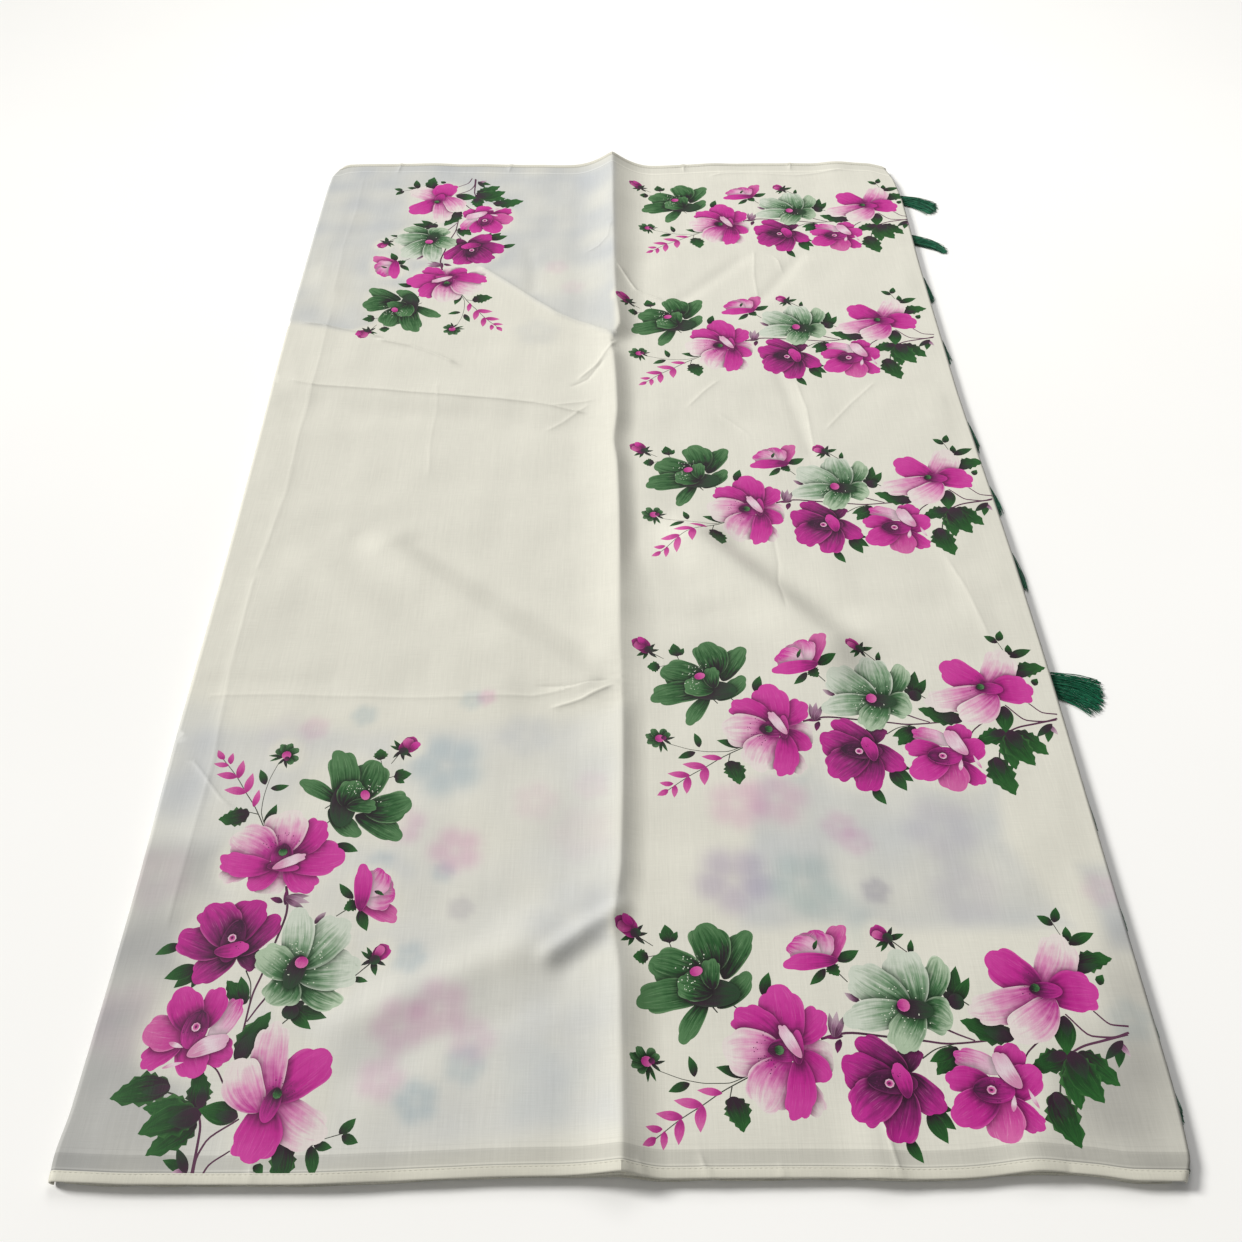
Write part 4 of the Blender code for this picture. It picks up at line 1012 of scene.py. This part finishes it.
# Gaps between them, where the zones above show less: x, y, reach, strength
BARE_PATCHES = (
    (-312, 348, 30, 0.7), (-284, 306, 30, 0.8), (200, -292, 22, 0.5), (-92, -350, 40, 0.85),
    (-60, 326, 36, 0.7), (-90, -440, 30, 0.5), (-60, -300, 30, 0.4),
)
CREAM = (0.650, 0.640, 0.570)
# Tints of the print below, and "shade": a plain painted shade for the near corners
TINTS = {
    "grey": (0.82, 0.845, 0.915), "pale": (0.84, 0.87, 0.97), "shade": (0.80, 0.80, 0.81),
    "blue": (0.74, 0.82, 0.89), "pink": (0.95, 0.75, 0.90), "green": (0.78, 0.86, 0.88),
    "plum": (0.80, 0.76, 0.88), "dusk": (0.70, 0.68, 0.76),
}
# How much less of the zones and of the blurred flowers shows round each petal of the print on top, and
# how far past the petal
HALO_OVER_ZONES = 0.8
HALO_OVER_FLOWERS = 0.7
HALO_MARGIN = 16.0


def flower_blur(x, y, middle_x, middle_y, reach):
    """1 on the five petals of a blurred flower, fading to 0 round them."""
    first = random.Random(round(middle_x)).uniform(0.0, math.tau)
    blur = np.zeros(x.shape)
    for petal in range(5):
        angle = first + math.tau * petal / 5
        away_x = x - middle_x - BLURRED_OUT * reach * math.cos(angle)
        away_y = y - middle_y - BLURRED_OUT * reach * math.sin(angle)
        away = np.hypot(away_x, away_y) / (BLURRED_SIZE * reach + BLURRED_EDGE)
        blur = np.maximum(blur, np.exp(-(away**3)))
    return blur


def see_through_and_painted_shade(x, y):
    """The bare cloth's colour: warm cream, cooler where folds of the print below show, with painted shade at
    the near corners.
    """
    places, halo = np.stack([x, y], -1), np.zeros(x.shape)
    for spray in PALLU_SPRAYS + BODY_SPRAYS:
        for stroke in spray_shapes(*spray):
            if isinstance(stroke, Stroke) and stroke.over:
                middle = stroke.root + stroke.ahead * stroke.length / 2.0
                reach = (stroke.length + stroke.width + HALO_MARGIN) / 4.0 + 1.0
                near_by = (np.abs(places - middle) < 2.0 * reach).all(1)
                away = np.linalg.norm(places[near_by] - middle, axis=1)
                halo[near_by] += np.exp(-((away / reach) ** 3.6))
    halo = np.clip(halo, 0.0, 1.0)
    uneven = soft_waves(x, y, count=10, shortest=40.0, longest=130.0, height=0.26)
    below = (1.0 + uneven) * (1.0 - HALO_OVER_ZONES * halo)
    for middle_x, middle_y, reach, strength in BARE_PATCHES:
        below *= 1.0 - strength * np.exp(-((x - middle_x) ** 2 + (y - middle_y) ** 2) / reach**2)
    colour = np.tile(CREAM, (len(x), 1))
    # The print below showing through, and painted shade in the "shade" zones
    for outline, softness, tint, strength in PRINT_BELOW_AND_PAINTED_SHADE:
        outline = np.array(outline, float)
        away = outline_distance(outline, places)
        cover = soft_step(np.where(inside(outline, places), away, -away) / softness + 0.5)
        colour *= 1.0 - (strength * cover * below)[:, None] * (1.0 - np.array(TINTS[tint]))
    for middle_x, middle_y, reach, tint, strength in BLURRED_FLOWERS:
        spot = strength * flower_blur(x, y, middle_x, middle_y, reach) * (1.0 - HALO_OVER_FLOWERS * halo)
        colour *= 1.0 - spot[:, None] * (1.0 - np.array(TINTS[tint]))
    return colour


def weave(nodes):
    """Fine uneven threads both ways, as a value about 0.5."""
    place = own_place(nodes)
    warp = nodes.noise(place, 1.0, 3.0, stretch=(2400.0, 60.0, 1.0))
    weft = nodes.noise(place, 1.0, 3.0, stretch=(60.0, 2400.0, 1.0))
    return (warp + weft) * 0.5


def slubs(nodes):
    """A few thicker threads across the cloth, as a value about 0.5."""
    place = own_place(nodes)
    return nodes.noise(place, 1.0, 2.0, stretch=(700.0, 12.0, 1.0))


def cloth_normal(nodes):
    height = weave(nodes) + slubs(nodes) * 0.4
    return nodes.node("ShaderNodeBump", {}, {"Strength": 0.3, "Distance": 0.00025, "Height": height})


def cloth_roughness(nodes):
    return weave(nodes) * 0.25 + 0.42


def threads_over(nodes, colour):
    """A colour with the weave's fine light and dark threads on it."""
    shade = nodes.between(weave(nodes), 0.3, 0.7, 0.945, 1.045)
    shade = shade * nodes.between(slubs(nodes), 0.3, 0.75, 0.985, 1.025)
    grey = nodes.node("ShaderNodeCombineColor", {}, {0: shade, 1: shade, 2: shade})
    return nodes.mix(1.0, colour, grey, "MULTIPLY")


# Lines along the selvedges that make the cloth lighter or darker: the grey band where the hem of the fold
# below shows through, and 6.4 mm in from each edge a thin painted shade along the edge of the hem: which
# edge, how far in, half width, and how they shade the cloth
SELVEDGE_LINES = (
    ("near_edge", 6.4, 0.35, 0.62), ("near_edge", 7.5, 0.3, 1.05), ("near_edge", 11.2, 4.0, 0.79),
    ("near_edge", 15.4, 0.35, 0.90), ("near_edge", 18.6, 0.3, 0.96), ("far_edge", 6.4, 0.5, 0.8),
    ("far_edge", 12.0, 5.0, 0.95), ("far_edge", 19.5, 0.9, 1.12), ("far_edge", 21.4, 0.5, 0.9),
)


def cloth_colour(nodes):
    tint = nodes.node("ShaderNodeAttribute", {"attribute_name": "tint"}, {}, "Color")
    for edge, inwards, half_width, shade in SELVEDGE_LINES:
        from_edge = nodes.node("ShaderNodeAttribute", {"attribute_name": edge}, {}, "Fac")
        away = (from_edge - inwards).size()
        line = nodes.between(away, half_width * 1.3, half_width * 0.7)
        tint = nodes.mix(line, tint, [shade] * 3, "MULTIPLY")
    return threads_over(nodes, tint)


def ink_colour(ink):
    """The colour of a stroke of ink: from its root to its rim, with brushed streaks and fine lines."""
    root, body, rim, light, lines, streaky = INKS[ink]

    def colour(nodes):
        place = nodes.node("ShaderNodeUVMap", {"uv_map": "stroke"}, {})
        across = nodes.node("ShaderNodeSeparateXYZ", {}, {0: place}, 0)
        along = nodes.node("ShaderNodeSeparateXYZ", {}, {0: place}, 1)
        press = nodes.node("ShaderNodeAttribute", {"attribute_name": "press"}, {}, "Color")
        under = nodes.node("ShaderNodeSeparateColor", {}, {0: press}, 0)
        own = nodes.node("ShaderNodeSeparateColor", {}, {0: press}, 1)
        brushed = nodes.node("ShaderNodeCombineXYZ", {}, {0: across + own * 37.0, 1: along, 2: own})
        streaks = nodes.noise(brushed, 1.0, 3.0, stretch=(7.0, 1.6, 1.0))
        fine = nodes.noise(brushed, 1.0, 3.0, stretch=(26.0, 3.2, 1.0))
        blots = nodes.noise(own_place(nodes), 150.0, 3.0)
        shift = (streaks - 0.5) * streaky + (blots - 0.5) * 0.45 + (own - 0.5) * 0.22
        stops = [(0.10, root), (0.45, body), (0.90, rim)]
        inked = nodes.node("ShaderNodeValToRGB", {"stops": stops}, {0: along + shift})
        edge = nodes.between(across.size() + shift * 0.25, 0.74, 1.0) * 0.5
        inked = nodes.mix(edge, inked, rim)
        lit = nodes.between(fine, 0.56, 0.70) * nodes.between(along, 0.22, 0.55) * lines
        inked = nodes.mix(lit, inked, light)
        hem = nodes.between(across.size(), 0.88, 0.99) * nodes.between(streaks, 0.45, 0.6) * lines
        inked = nodes.mix(hem, inked, light)
        inked = nodes.mix(under * 0.8, inked, [part * 0.3 for part in root])
        return threads_over(nodes, inked)

    return colour


ink_materials = {}
for ink in INK_NAMES:
    colour_maker = cloth_colour if ink == "bare" else ink_colour(ink)
    ink_materials[ink] = surface_material(
        f"cloth_{ink}", colour_maker, cloth_roughness, cloth_normal, sheen=0.05
    )

# Hems: the selvedge turned over twice to a flat strip on each stretch's near and far edge, and sewn down
# with one line of running stitches.

# Section across a hem, from its sewn edge over the top and round to the cloth's underside: from the
# selvedge inwards, height above the cloth
HEM_SECTION = (
    (5.9, 0.02), (5.7, 0.24), (5.3, 0.30), (5.0, 0.18), (4.7, 0.30), (3.8, 0.36), (2.4, 0.38),
    (1.2, 0.36), (0.4, 0.28), (-0.1, 0.08), (-0.3, -0.30), (-0.15, -0.66), (0.3, -0.88), (1.6, -0.95),
)
HEM_STEP = 2.2
HEM_FROM_RIDGE = 0.1
# The stitches: how far in they lie, how high above the cloth, and the size of each
STITCH_FROM_EDGE = 5.0
STITCH_ABOVE = 0.24
STITCH_SIZES = {"Pitch": 3.1, "Length": 1.9, "Radius": 0.16}


def strip_mesh(name, at, columns, section, material):
    """A strip swept along columns, with its section's points placed by the function at."""
    points, faces = [], []
    columns = np.asarray(columns)
    for from_edge, above in section:
        points += list(at(columns, from_edge, above))
    count = len(columns)
    for row in range(len(section) - 1):
        for column in range(count - 1):
            first = row * count + column
            faces.append((first, first + 1, first + count + 1, first + count))
    mesh = mesh_of(name, points, faces)
    mesh.materials.append(material)
    mesh.shade_smooth()
    return add_object(name, mesh)


def hem_colour(nodes):
    patches = nodes.noise(own_place(nodes), 14.0)
    plain = nodes.mix(nodes.between(patches, 0.35, 0.65), (0.56, 0.548, 0.475), (0.62, 0.607, 0.525))
    return threads_over(nodes, plain)


class GeometryNodes(Nodes):
    """The tree of a Geometry Nodes modifier, with named inputs."""

    def __init__(self, name):
        super().__init__(bpy.data.node_groups.new(name, "GeometryNodeTree"))
        self.tree.interface.new_socket("Geometry", in_out="OUTPUT", socket_type="NodeSocketGeometry")
        self.tree.interface.new_socket("Base", in_out="INPUT", socket_type="NodeSocketGeometry")
        self.sockets = {}
        self.group_input = self.tree.nodes.new("NodeGroupInput")
        self.base = Socket(self, self.group_input.outputs["Base"])

    def value(self, name, kind="NodeSocketFloat"):
        made = self.tree.interface.new_socket(name, in_out="INPUT", socket_type=kind)
        self.sockets[name] = made.identifier
        return Socket(self, self.group_input.outputs[name])

    def finish(self, geometry, material):
        real = self.node("GeometryNodeRealizeInstances", {}, {0: geometry})
        smooth = self.node("GeometryNodeSetShadeSmooth", {}, {0: real})
        inked = self.node("GeometryNodeSetMaterial", {}, {"Geometry": smooth, "Material": material})
        output = self.tree.nodes.new("NodeGroupOutput")
        self.tree.links.new(inked.output, output.inputs[0])

    def make_piece(self, name, values, base=None):
        """A plain mesh object that the tree makes from these input values and a base mesh."""
        holder = add_object(name, base or bpy.data.meshes.new(name))
        modifier = holder.modifiers.new(name, "NODES")
        modifier.node_group = self.tree
        for socket, value in values.items():
            modifier[self.sockets[socket]] = value
        ready = holder.evaluated_get(bpy.context.evaluated_depsgraph_get())
        mesh = bpy.data.meshes.new_from_object(ready)
        holder.modifiers.remove(modifier)
        holder.data = mesh
        mesh.name = name
        return holder


def stitch_tree(material):
    """Stitches spaced along a line of points, each lying along the line."""
    tree = GeometryNodes("running_stitches")
    pitch, length, radius = (tree.value(word) for word in ("Pitch", "Length", "Radius"))
    line = tree.node("GeometryNodeMeshToCurve", {}, {0: tree.base})
    spaced = tree.node("GeometryNodeResampleCurve", {"mode": "LENGTH"}, {"Curve": line, "Length": pitch})
    single = tree.node("GeometryNodeMeshUVSphere", {}, {"Segments": 6, "Rings": 4, "Radius": 1.0})
    heading = tree.node("GeometryNodeInputTangent", {}, {})
    turned = tree.node("FunctionNodeAlignEulerToVector", {"axis": "X"}, {"Vector": heading})
    size = tree.node("ShaderNodeCombineXYZ", {}, {0: length * 0.5, 1: radius, 2: radius})
    placed = tree.node(
        "GeometryNodeInstanceOnPoints", {},
        {"Points": spaced, "Instance": single, "Rotation": turned, "Scale": size},
    )
    tree.finish(placed, material)
    return tree


def stitch_colour(nodes):
    return nodes.mix(nodes.noise(own_place(nodes), 300.0), (0.44, 0.43, 0.37), (0.55, 0.54, 0.465))


stitches = stitch_tree(surface_material("stitch_thread", stitch_colour, cloth_roughness))
hem_material = surface_material("hem_cloth", hem_colour, cloth_roughness, cloth_normal, sheen=0.12)
hems = {}
for end, table, inwards in (("near", NEAR_SIDE, 1.0), ("far", FAR_SIDE, -1.0)):
    for half, outward, side_table, roll in (
        ("body", -1.0, LEFT_SIDE, LEFT_ROLL), ("pallu", 1.0, RIGHT_SIDE, RIGHT_ROLL)
    ):
        edge_y = table[0][1] if half == "body" else table[-1][1]
        start = float(ridge_x(edge_y)) + outward * HEM_FROM_RIDGE
        stop = float(side_end(outward, side_table, roll, edge_y))
        columns = np.linspace(start, stop, round(abs(stop - start) / HEM_STEP))
        if outward * inwards < 0.0:
            columns = columns[::-1]

        def hem_place(x, from_edge, above):
            y = read_table(table, x)[0] + inwards * from_edge
            return drape(x, y, above)[0]

        name = f"{end}_{half}_hem"
        hems[end, half] = strip_mesh(name, hem_place, columns, HEM_SECTION, hem_material)
        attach(hems[end, half], "root")
        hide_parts(f"{end}_hem_{half}")
        line_points = hem_place(columns, STITCH_FROM_EDGE, STITCH_ABOVE)
        links = [(index, index + 1) for index in range(len(line_points) - 1)]
        line = mesh_of("stitch_line", line_points, [], links)
        sizes = {size: value * METRES for size, value in STITCH_SIZES.items()}
        sewn = stitches.make_piece(f"{end}_{half}_stitches", sizes, line)
        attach(sewn, "root")


# Hidden layers: the rest of the folded length, eight leaves deep. Only their folded edges show, stacked
# unevenly along the near and far ends.
LEAF_COUNT = 8
LEAF_LOW, LEAF_HIGH = 0.1, 6.9
# A leaf's edge: how far its round fold bulges, its rows of points, and how far in it may lie
LEAF_ROUND = 1.2
LEAF_ROWS = 5
LEAF_INSETS = (0.3, 2.8)
# How far the topmost leaf follows the folds of the cloth on it
LEAF_FOLLOWS = 0.6
# The ring round the layers: its bounds, its corners, how far in its sides lie, and its points along a
# selvedge, along a side and round a corner
LAYERS_LEFT, LAYERS_RIGHT, LAYERS_NEAR, LAYERS_FAR = -317.0, 326.0, -571.5, 571.0
CORNER = 6.0
LEFT_INSET, RIGHT_INSET = 3.6, 4.0
SELVEDGE_POINTS, SIDE_POINTS, CORNER_POINTS = 230, 60, 6
# The flat top that closes the stack, well below the cloth on it
LID_HEIGHT = 4.0
LID_INSET = 12.0


def ring_points():
    """Points and outward directions round the pad, with round corners, starting at the near left."""
    left, right = LAYERS_LEFT + CORNER, LAYERS_RIGHT - CORNER
    near, far = LAYERS_NEAR + CORNER, LAYERS_FAR - CORNER
    near_side = [(x, float(near_y(x))) for x in np.linspace(left, right, SELVEDGE_POINTS)]
    far_side = [(x, float(far_y(x))) for x in np.linspace(right, left, SELVEDGE_POINTS)]
    right_side = [
        (float(read_table(RIGHT_SIDE, y)[0]) - RIGHT_INSET, y) for y in np.linspace(near, far, SIDE_POINTS)
    ]
    left_side = [
        (float(read_table(LEFT_SIDE, y)[0]) + LEFT_INSET, y) for y in np.linspace(far, near, SIDE_POINTS)
    ]
    points, outwards = [], []
    for side, outward, (centre_x, centre_y), first in (
        (near_side, (0.0, -1.0), (right, near), -90.0), (right_side, (1.0, 0.0), (right, far), 0.0),
        (far_side, (0.0, 1.0), (left, far), 90.0), (left_side, (-1.0, 0.0), (left, near), 180.0),
    ):
        points += side
        outwards += [outward] * len(side)
        for turn in np.radians(np.linspace(first, first + 90.0, CORNER_POINTS)[1:-1]):
            points.append((centre_x + CORNER * math.cos(turn), centre_y + CORNER * math.sin(turn)))
            outwards.append((math.cos(turn), math.sin(turn)))
    return np.array(points), np.array(outwards)


def layers_colour(nodes):
    place = own_place(nodes)
    threads = nodes.noise(place, 1.0, 3.0, stretch=(900.0, 900.0, 60.0))
    streaks = nodes.noise(place, 24.0, 2.0)
    shade = nodes.between(threads * 0.6 + streaks * 0.4, 0.3, 0.7, 0.80, 1.05)
    grey = nodes.node("ShaderNodeCombineColor", {}, {0: shade, 1: shade, 2: shade})
    return nodes.mix(1.0, (0.66, 0.645, 0.56), grey, "MULTIPLY")


around, outwards = ring_points()
chance = random.Random(3)
ring_steps = np.arange(len(around))
rows = []
for leaf in range(LEAF_COUNT):
    low = LEAF_LOW + (LEAF_HIGH - LEAF_LOW) * leaf / LEAF_COUNT
    high = LEAF_LOW + (LEAF_HIGH - LEAF_LOW) * (leaf + 1) / LEAF_COUNT
    inset = chance.uniform(0.6, 1.8)
    for _ in range(4):
        slow, start = chance.uniform(0.01, 0.06), chance.uniform(0.0, math.tau)
        inset = inset + 0.25 * np.sin(ring_steps * slow * math.tau + start)
    for row in range(LEAF_ROWS):
        turn = math.pi * ((row + 0.5) / LEAF_ROWS - 0.5)
        share = (math.sin(turn) + 1.0) / 2.0
        level = low + (high - low) * share
        out = np.clip(inset, *LEAF_INSETS) + LEAF_ROUND * (1.0 - math.cos(turn))
        place = around - outwards * out[:, None]
        folds = cloth_height(place[:, 0], place[:, 1]) - CLOTH_TOP
        lift = (level / LEAF_HIGH) ** 2 * folds * LEAF_FOLLOWS
        rows.append(np.column_stack([place, level + np.clip(lift, -0.2, None)]))
lid = around - outwards * LID_INSET
rows.append(np.column_stack([lid, np.full(len(lid), LID_HEIGHT)]))
points, faces, count = np.concatenate(rows), [], len(around)
for row in range(len(rows) - 1):
    for column in range(count):
        first, second = row * count + column, row * count + (column + 1) % count
        faces.append((first, second, second + count, first + count))
faces.append(tuple(reversed(range(count))))
faces.append(tuple(range(len(points) - count, len(points))))
layers_mesh = mesh_of("layer_edges", points, faces)
layers_mesh.materials.append(surface_material("layer_cloth", layers_colour, cloth_roughness, sheen=0.1))
layers_mesh.shade_smooth()
layers = add_object("layer_edges", layers_mesh)
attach(layers, "root")
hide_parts("folded_layers")

# The two stretches of printed cloth, laid over the layers with their hems. The sari is woven 1.15 m wide,
# which is their length here, and each one's width is what shows of it, measured along the cloth.
stretches = {
    "printed_body": ("body", -1.0, LEFT_SIDE, LEFT_ROLL, BODY_SPRAYS, 0.337),
    "printed_pallu": ("pallu", 1.0, RIGHT_SIDE, RIGHT_ROLL, PALLU_SPRAYS, 0.336),
}
for name, (half, outward, side_table, roll, sprays, width_metres) in stretches.items():
    stretch = cloth_mesh(name, outward, side_table, roll, sprays)
    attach(stretch, "root")
    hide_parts(f"{half}_stretch")


# Tassels: loose bunches of silky green thread, tied along the pallu's end. Three lie out on the floor,
# and the others are tucked under the right fold with a few threads showing.

# Open tassels: y of the head, head width, tip width, length from the fold, drift of the tips, threads.
# Their heads are tied a little in from the fold.
OPEN_TASSELS = (
    (504.0, 15.0, 25.0, 38.0, -24.0, 170), (420.0, 18.0, 9.0, 35.0, -26.0, 110),
    (-208.0, 22.0, 31.0, 36.0, -20.0, 210),
)
OPEN_HEAD_IN = 5.0
# Tucked tassels: y of the head, length along the fold, how far the threads stand out past it. Both their
# heads and the middle of their tips lie a little further in.
TUCKED_TASSELS = (
    (350.0, 52.0, 5.0), (242.0, 48.0, 3.2), (112.0, 52.0, 3.4), (22.0, 46.0, 3.6), (-62.0, 52.0, 4.8),
    (-296.0, 48.0, 0.4), (-372.0, 50.0, 0.4), (-448.0, 46.0, 0.6), (-512.0, 30.0, 1.6),
    (-548.0, 24.0, 1.8),
)
TUCKED_HEAD_IN = 3.0
TUCKED_TIPS_IN = 1.5
TUCKED_THREADS = 56
THREAD_RADIUS = 0.28
THREAD_POINTS = 14


def thread_tree(name, material):
    """Threads in a bunch: each starts at the head and runs out to its own tip."""
    tree = GeometryNodes(name)
    count = tree.value("Threads", "NodeSocketInt")
    seed = tree.value("Seed", "NodeSocketInt")
    head_x, head_y, tip_x, tip_y = (tree.value(word) for word in ("Head X", "Head Y", "Tip X", "Tip Y"))
    head_width, tip_width = tree.value("Head Width"), tree.value("Tip Width")
    head_low, head_high = tree.value("Head Low"), tree.value("Head High")
    tip_high, curl, high_arch = (tree.value(word) for word in ("Tip High", "Curl", "Arch"))
    across_x, across_y = tree.value("Across X"), tree.value("Across Y")
    radius, round_end = tree.value("Radius"), tree.value("Round End")
    dots = tree.node("GeometryNodePoints", {}, {"Count": count})
    line = tree.node("GeometryNodeCurvePrimitiveLine", {}, {"End": (1.0, 0.0, 0.0)})
    resampled = tree.node("GeometryNodeResampleCurve", {}, {"Curve": line, "Count": THREAD_POINTS})
    placed = tree.node("GeometryNodeInstanceOnPoints", {}, {"Points": dots, "Instance": resampled})
    number = tree.node("GeometryNodeInputIndex", {}, {})
    stored = tree.node(
        "GeometryNodeStoreNamedAttribute", {"data_type": "INT", "domain": "INSTANCE"},
        {"Geometry": placed, "Name": "thread", "Value": number},
    )
    real = tree.node("GeometryNodeRealizeInstances", {}, {0: stored})
    thread = tree.node("GeometryNodeInputNamedAttribute", {"data_type": "INT"}, {"Name": "thread"})
    along = tree.node("GeometryNodeSplineParameter", {}, {})

    def chance(low, high, seed):
        """A random value of each thread's own."""
        inputs = {"Min": low, "Max": high, "ID": thread, "Seed": seed}
        return tree.node("FunctionNodeRandomValue", {"data_type": "FLOAT"}, inputs, 1)

    start = chance(-1.0, 1.0, seed)
    end = start + chance(-0.35, 0.35, seed + 1.0)
    level = chance(0.0, 1.0, seed + 2.0)
    reach = along * chance(0.86, 1.0, seed + 3.0) * (1.0 - start * start * round_end)
    wave = (reach * chance(4.0, 9.0, seed + 4.0) + chance(0.0, 6.3, seed + 5.0)).sine()
    curl = curl * chance(0.2, 1.8, seed + 7.0)
    side = start * head_width * 0.5 * (1.0 - reach) + end * tip_width * 0.5 * reach + wave * curl * reach
    bow = reach * reach
    x = head_x + (tip_x - head_x) * (reach * 1.35 - bow * 0.35) + side * across_x
    y = head_y + (tip_y - head_y) * (reach * 0.45 + bow * 0.55) + side * across_y
    high = head_low + level * (head_high - head_low)
    arch = (reach * 3.1).sine() * chance(0.0, 1.0, seed + 6.0) * high_arch
    z = radius + high * (1.0 - reach) + level * tip_high * reach + arch
    place = tree.node("ShaderNodeCombineXYZ", {}, {0: x, 1: y, 2: z})
    moved = tree.node("GeometryNodeSetPosition", {}, {"Geometry": real, "Position": place})
    ring = tree.node("GeometryNodeCurvePrimitiveCircle", {}, {"Resolution": 4, "Radius": radius})
    tubes = tree.node(
        "GeometryNodeCurveToMesh", {}, {"Curve": moved, "Profile Curve": ring, "Fill Caps": True}
    )
    tree.finish(tubes, material)
    return tree


def thread_colour(nodes):
    place = own_place(nodes)
    mottled = nodes.noise(place, 260.0, 2.0)
    number = nodes.node("ShaderNodeAttribute", {"attribute_name": "thread"}, {}, "Fac")
    own = nodes.node("ShaderNodeTexWhiteNoise", {"noise_dimensions": "1D"}, {"W": number}, "Value")
    shade = nodes.between(mottled * 0.5 + own * 0.5, 0.25, 0.78)
    return nodes.mix(shade, (0.003, 0.050, 0.026), (0.015, 0.185, 0.092))


def thread_roughness(nodes):
    return nodes.noise(own_place(nodes), 900.0) * 0.2 + 0.30


tassel_material = surface_material("green_thread", thread_colour, thread_roughness, sheen=0.2)
threads = thread_tree("tassel_threads", tassel_material)


def add_tassel(name, node, values):
    in_metres = {key: value * METRES if isinstance(value, float) else value for key, value in values.items()}
    for key, shift in (("Head X", origin.x), ("Tip X", origin.x), ("Head Y", origin.y), ("Tip Y", origin.y)):
        in_metres[key] = (values[key] + shift) * METRES
    for key in ("Across X", "Across Y", "Round End"):
        in_metres[key] = values[key]
    piece = threads.make_piece(name, in_metres)
    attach(piece, "root")
    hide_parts(node)


for number, (y, head_width, tip_width, length, drift, count) in enumerate(OPEN_TASSELS, 1):
    fold_x = float(read_table(RIGHT_SIDE, y)[0])
    add_tassel(f"loose_tassel_{number}", f"open_tassel_{number}", {
        "Threads": count, "Seed": number * 20, "Head X": fold_x - OPEN_HEAD_IN, "Head Y": y,
        "Tip X": fold_x + length, "Tip Y": y + drift, "Head Width": head_width, "Tip Width": tip_width,
        "Head Low": 0.3, "Head High": 3.2, "Tip High": 1.4, "Curl": 1.4, "Arch": 0.9,
        "Across X": 0.45, "Across Y": 0.89, "Radius": THREAD_RADIUS, "Round End": 0.16,
    })
for number, (y, length, stand_out) in enumerate(TUCKED_TASSELS, 1):
    fold_x = float(read_table(RIGHT_SIDE, y)[0])
    far_fold_x = float(read_table(RIGHT_SIDE, y - length)[0])
    add_tassel(f"hidden_tassel_{number}", f"tucked_tassel_{number}", {
        "Threads": TUCKED_THREADS, "Seed": 200 + number * 20, "Head X": fold_x - TUCKED_HEAD_IN,
        "Head Y": y, "Tip X": far_fold_x + stand_out - TUCKED_TIPS_IN, "Tip Y": y - length,
        "Head Width": 5.0, "Tip Width": 6.0, "Head Low": 0.3, "Head High": 2.6, "Tip High": 1.6,
        "Curl": 0.8, "Arch": 0.5, "Across X": 1.0, "Across Y": 0.0, "Radius": THREAD_RADIUS,
        "Round End": 0.1,
    })
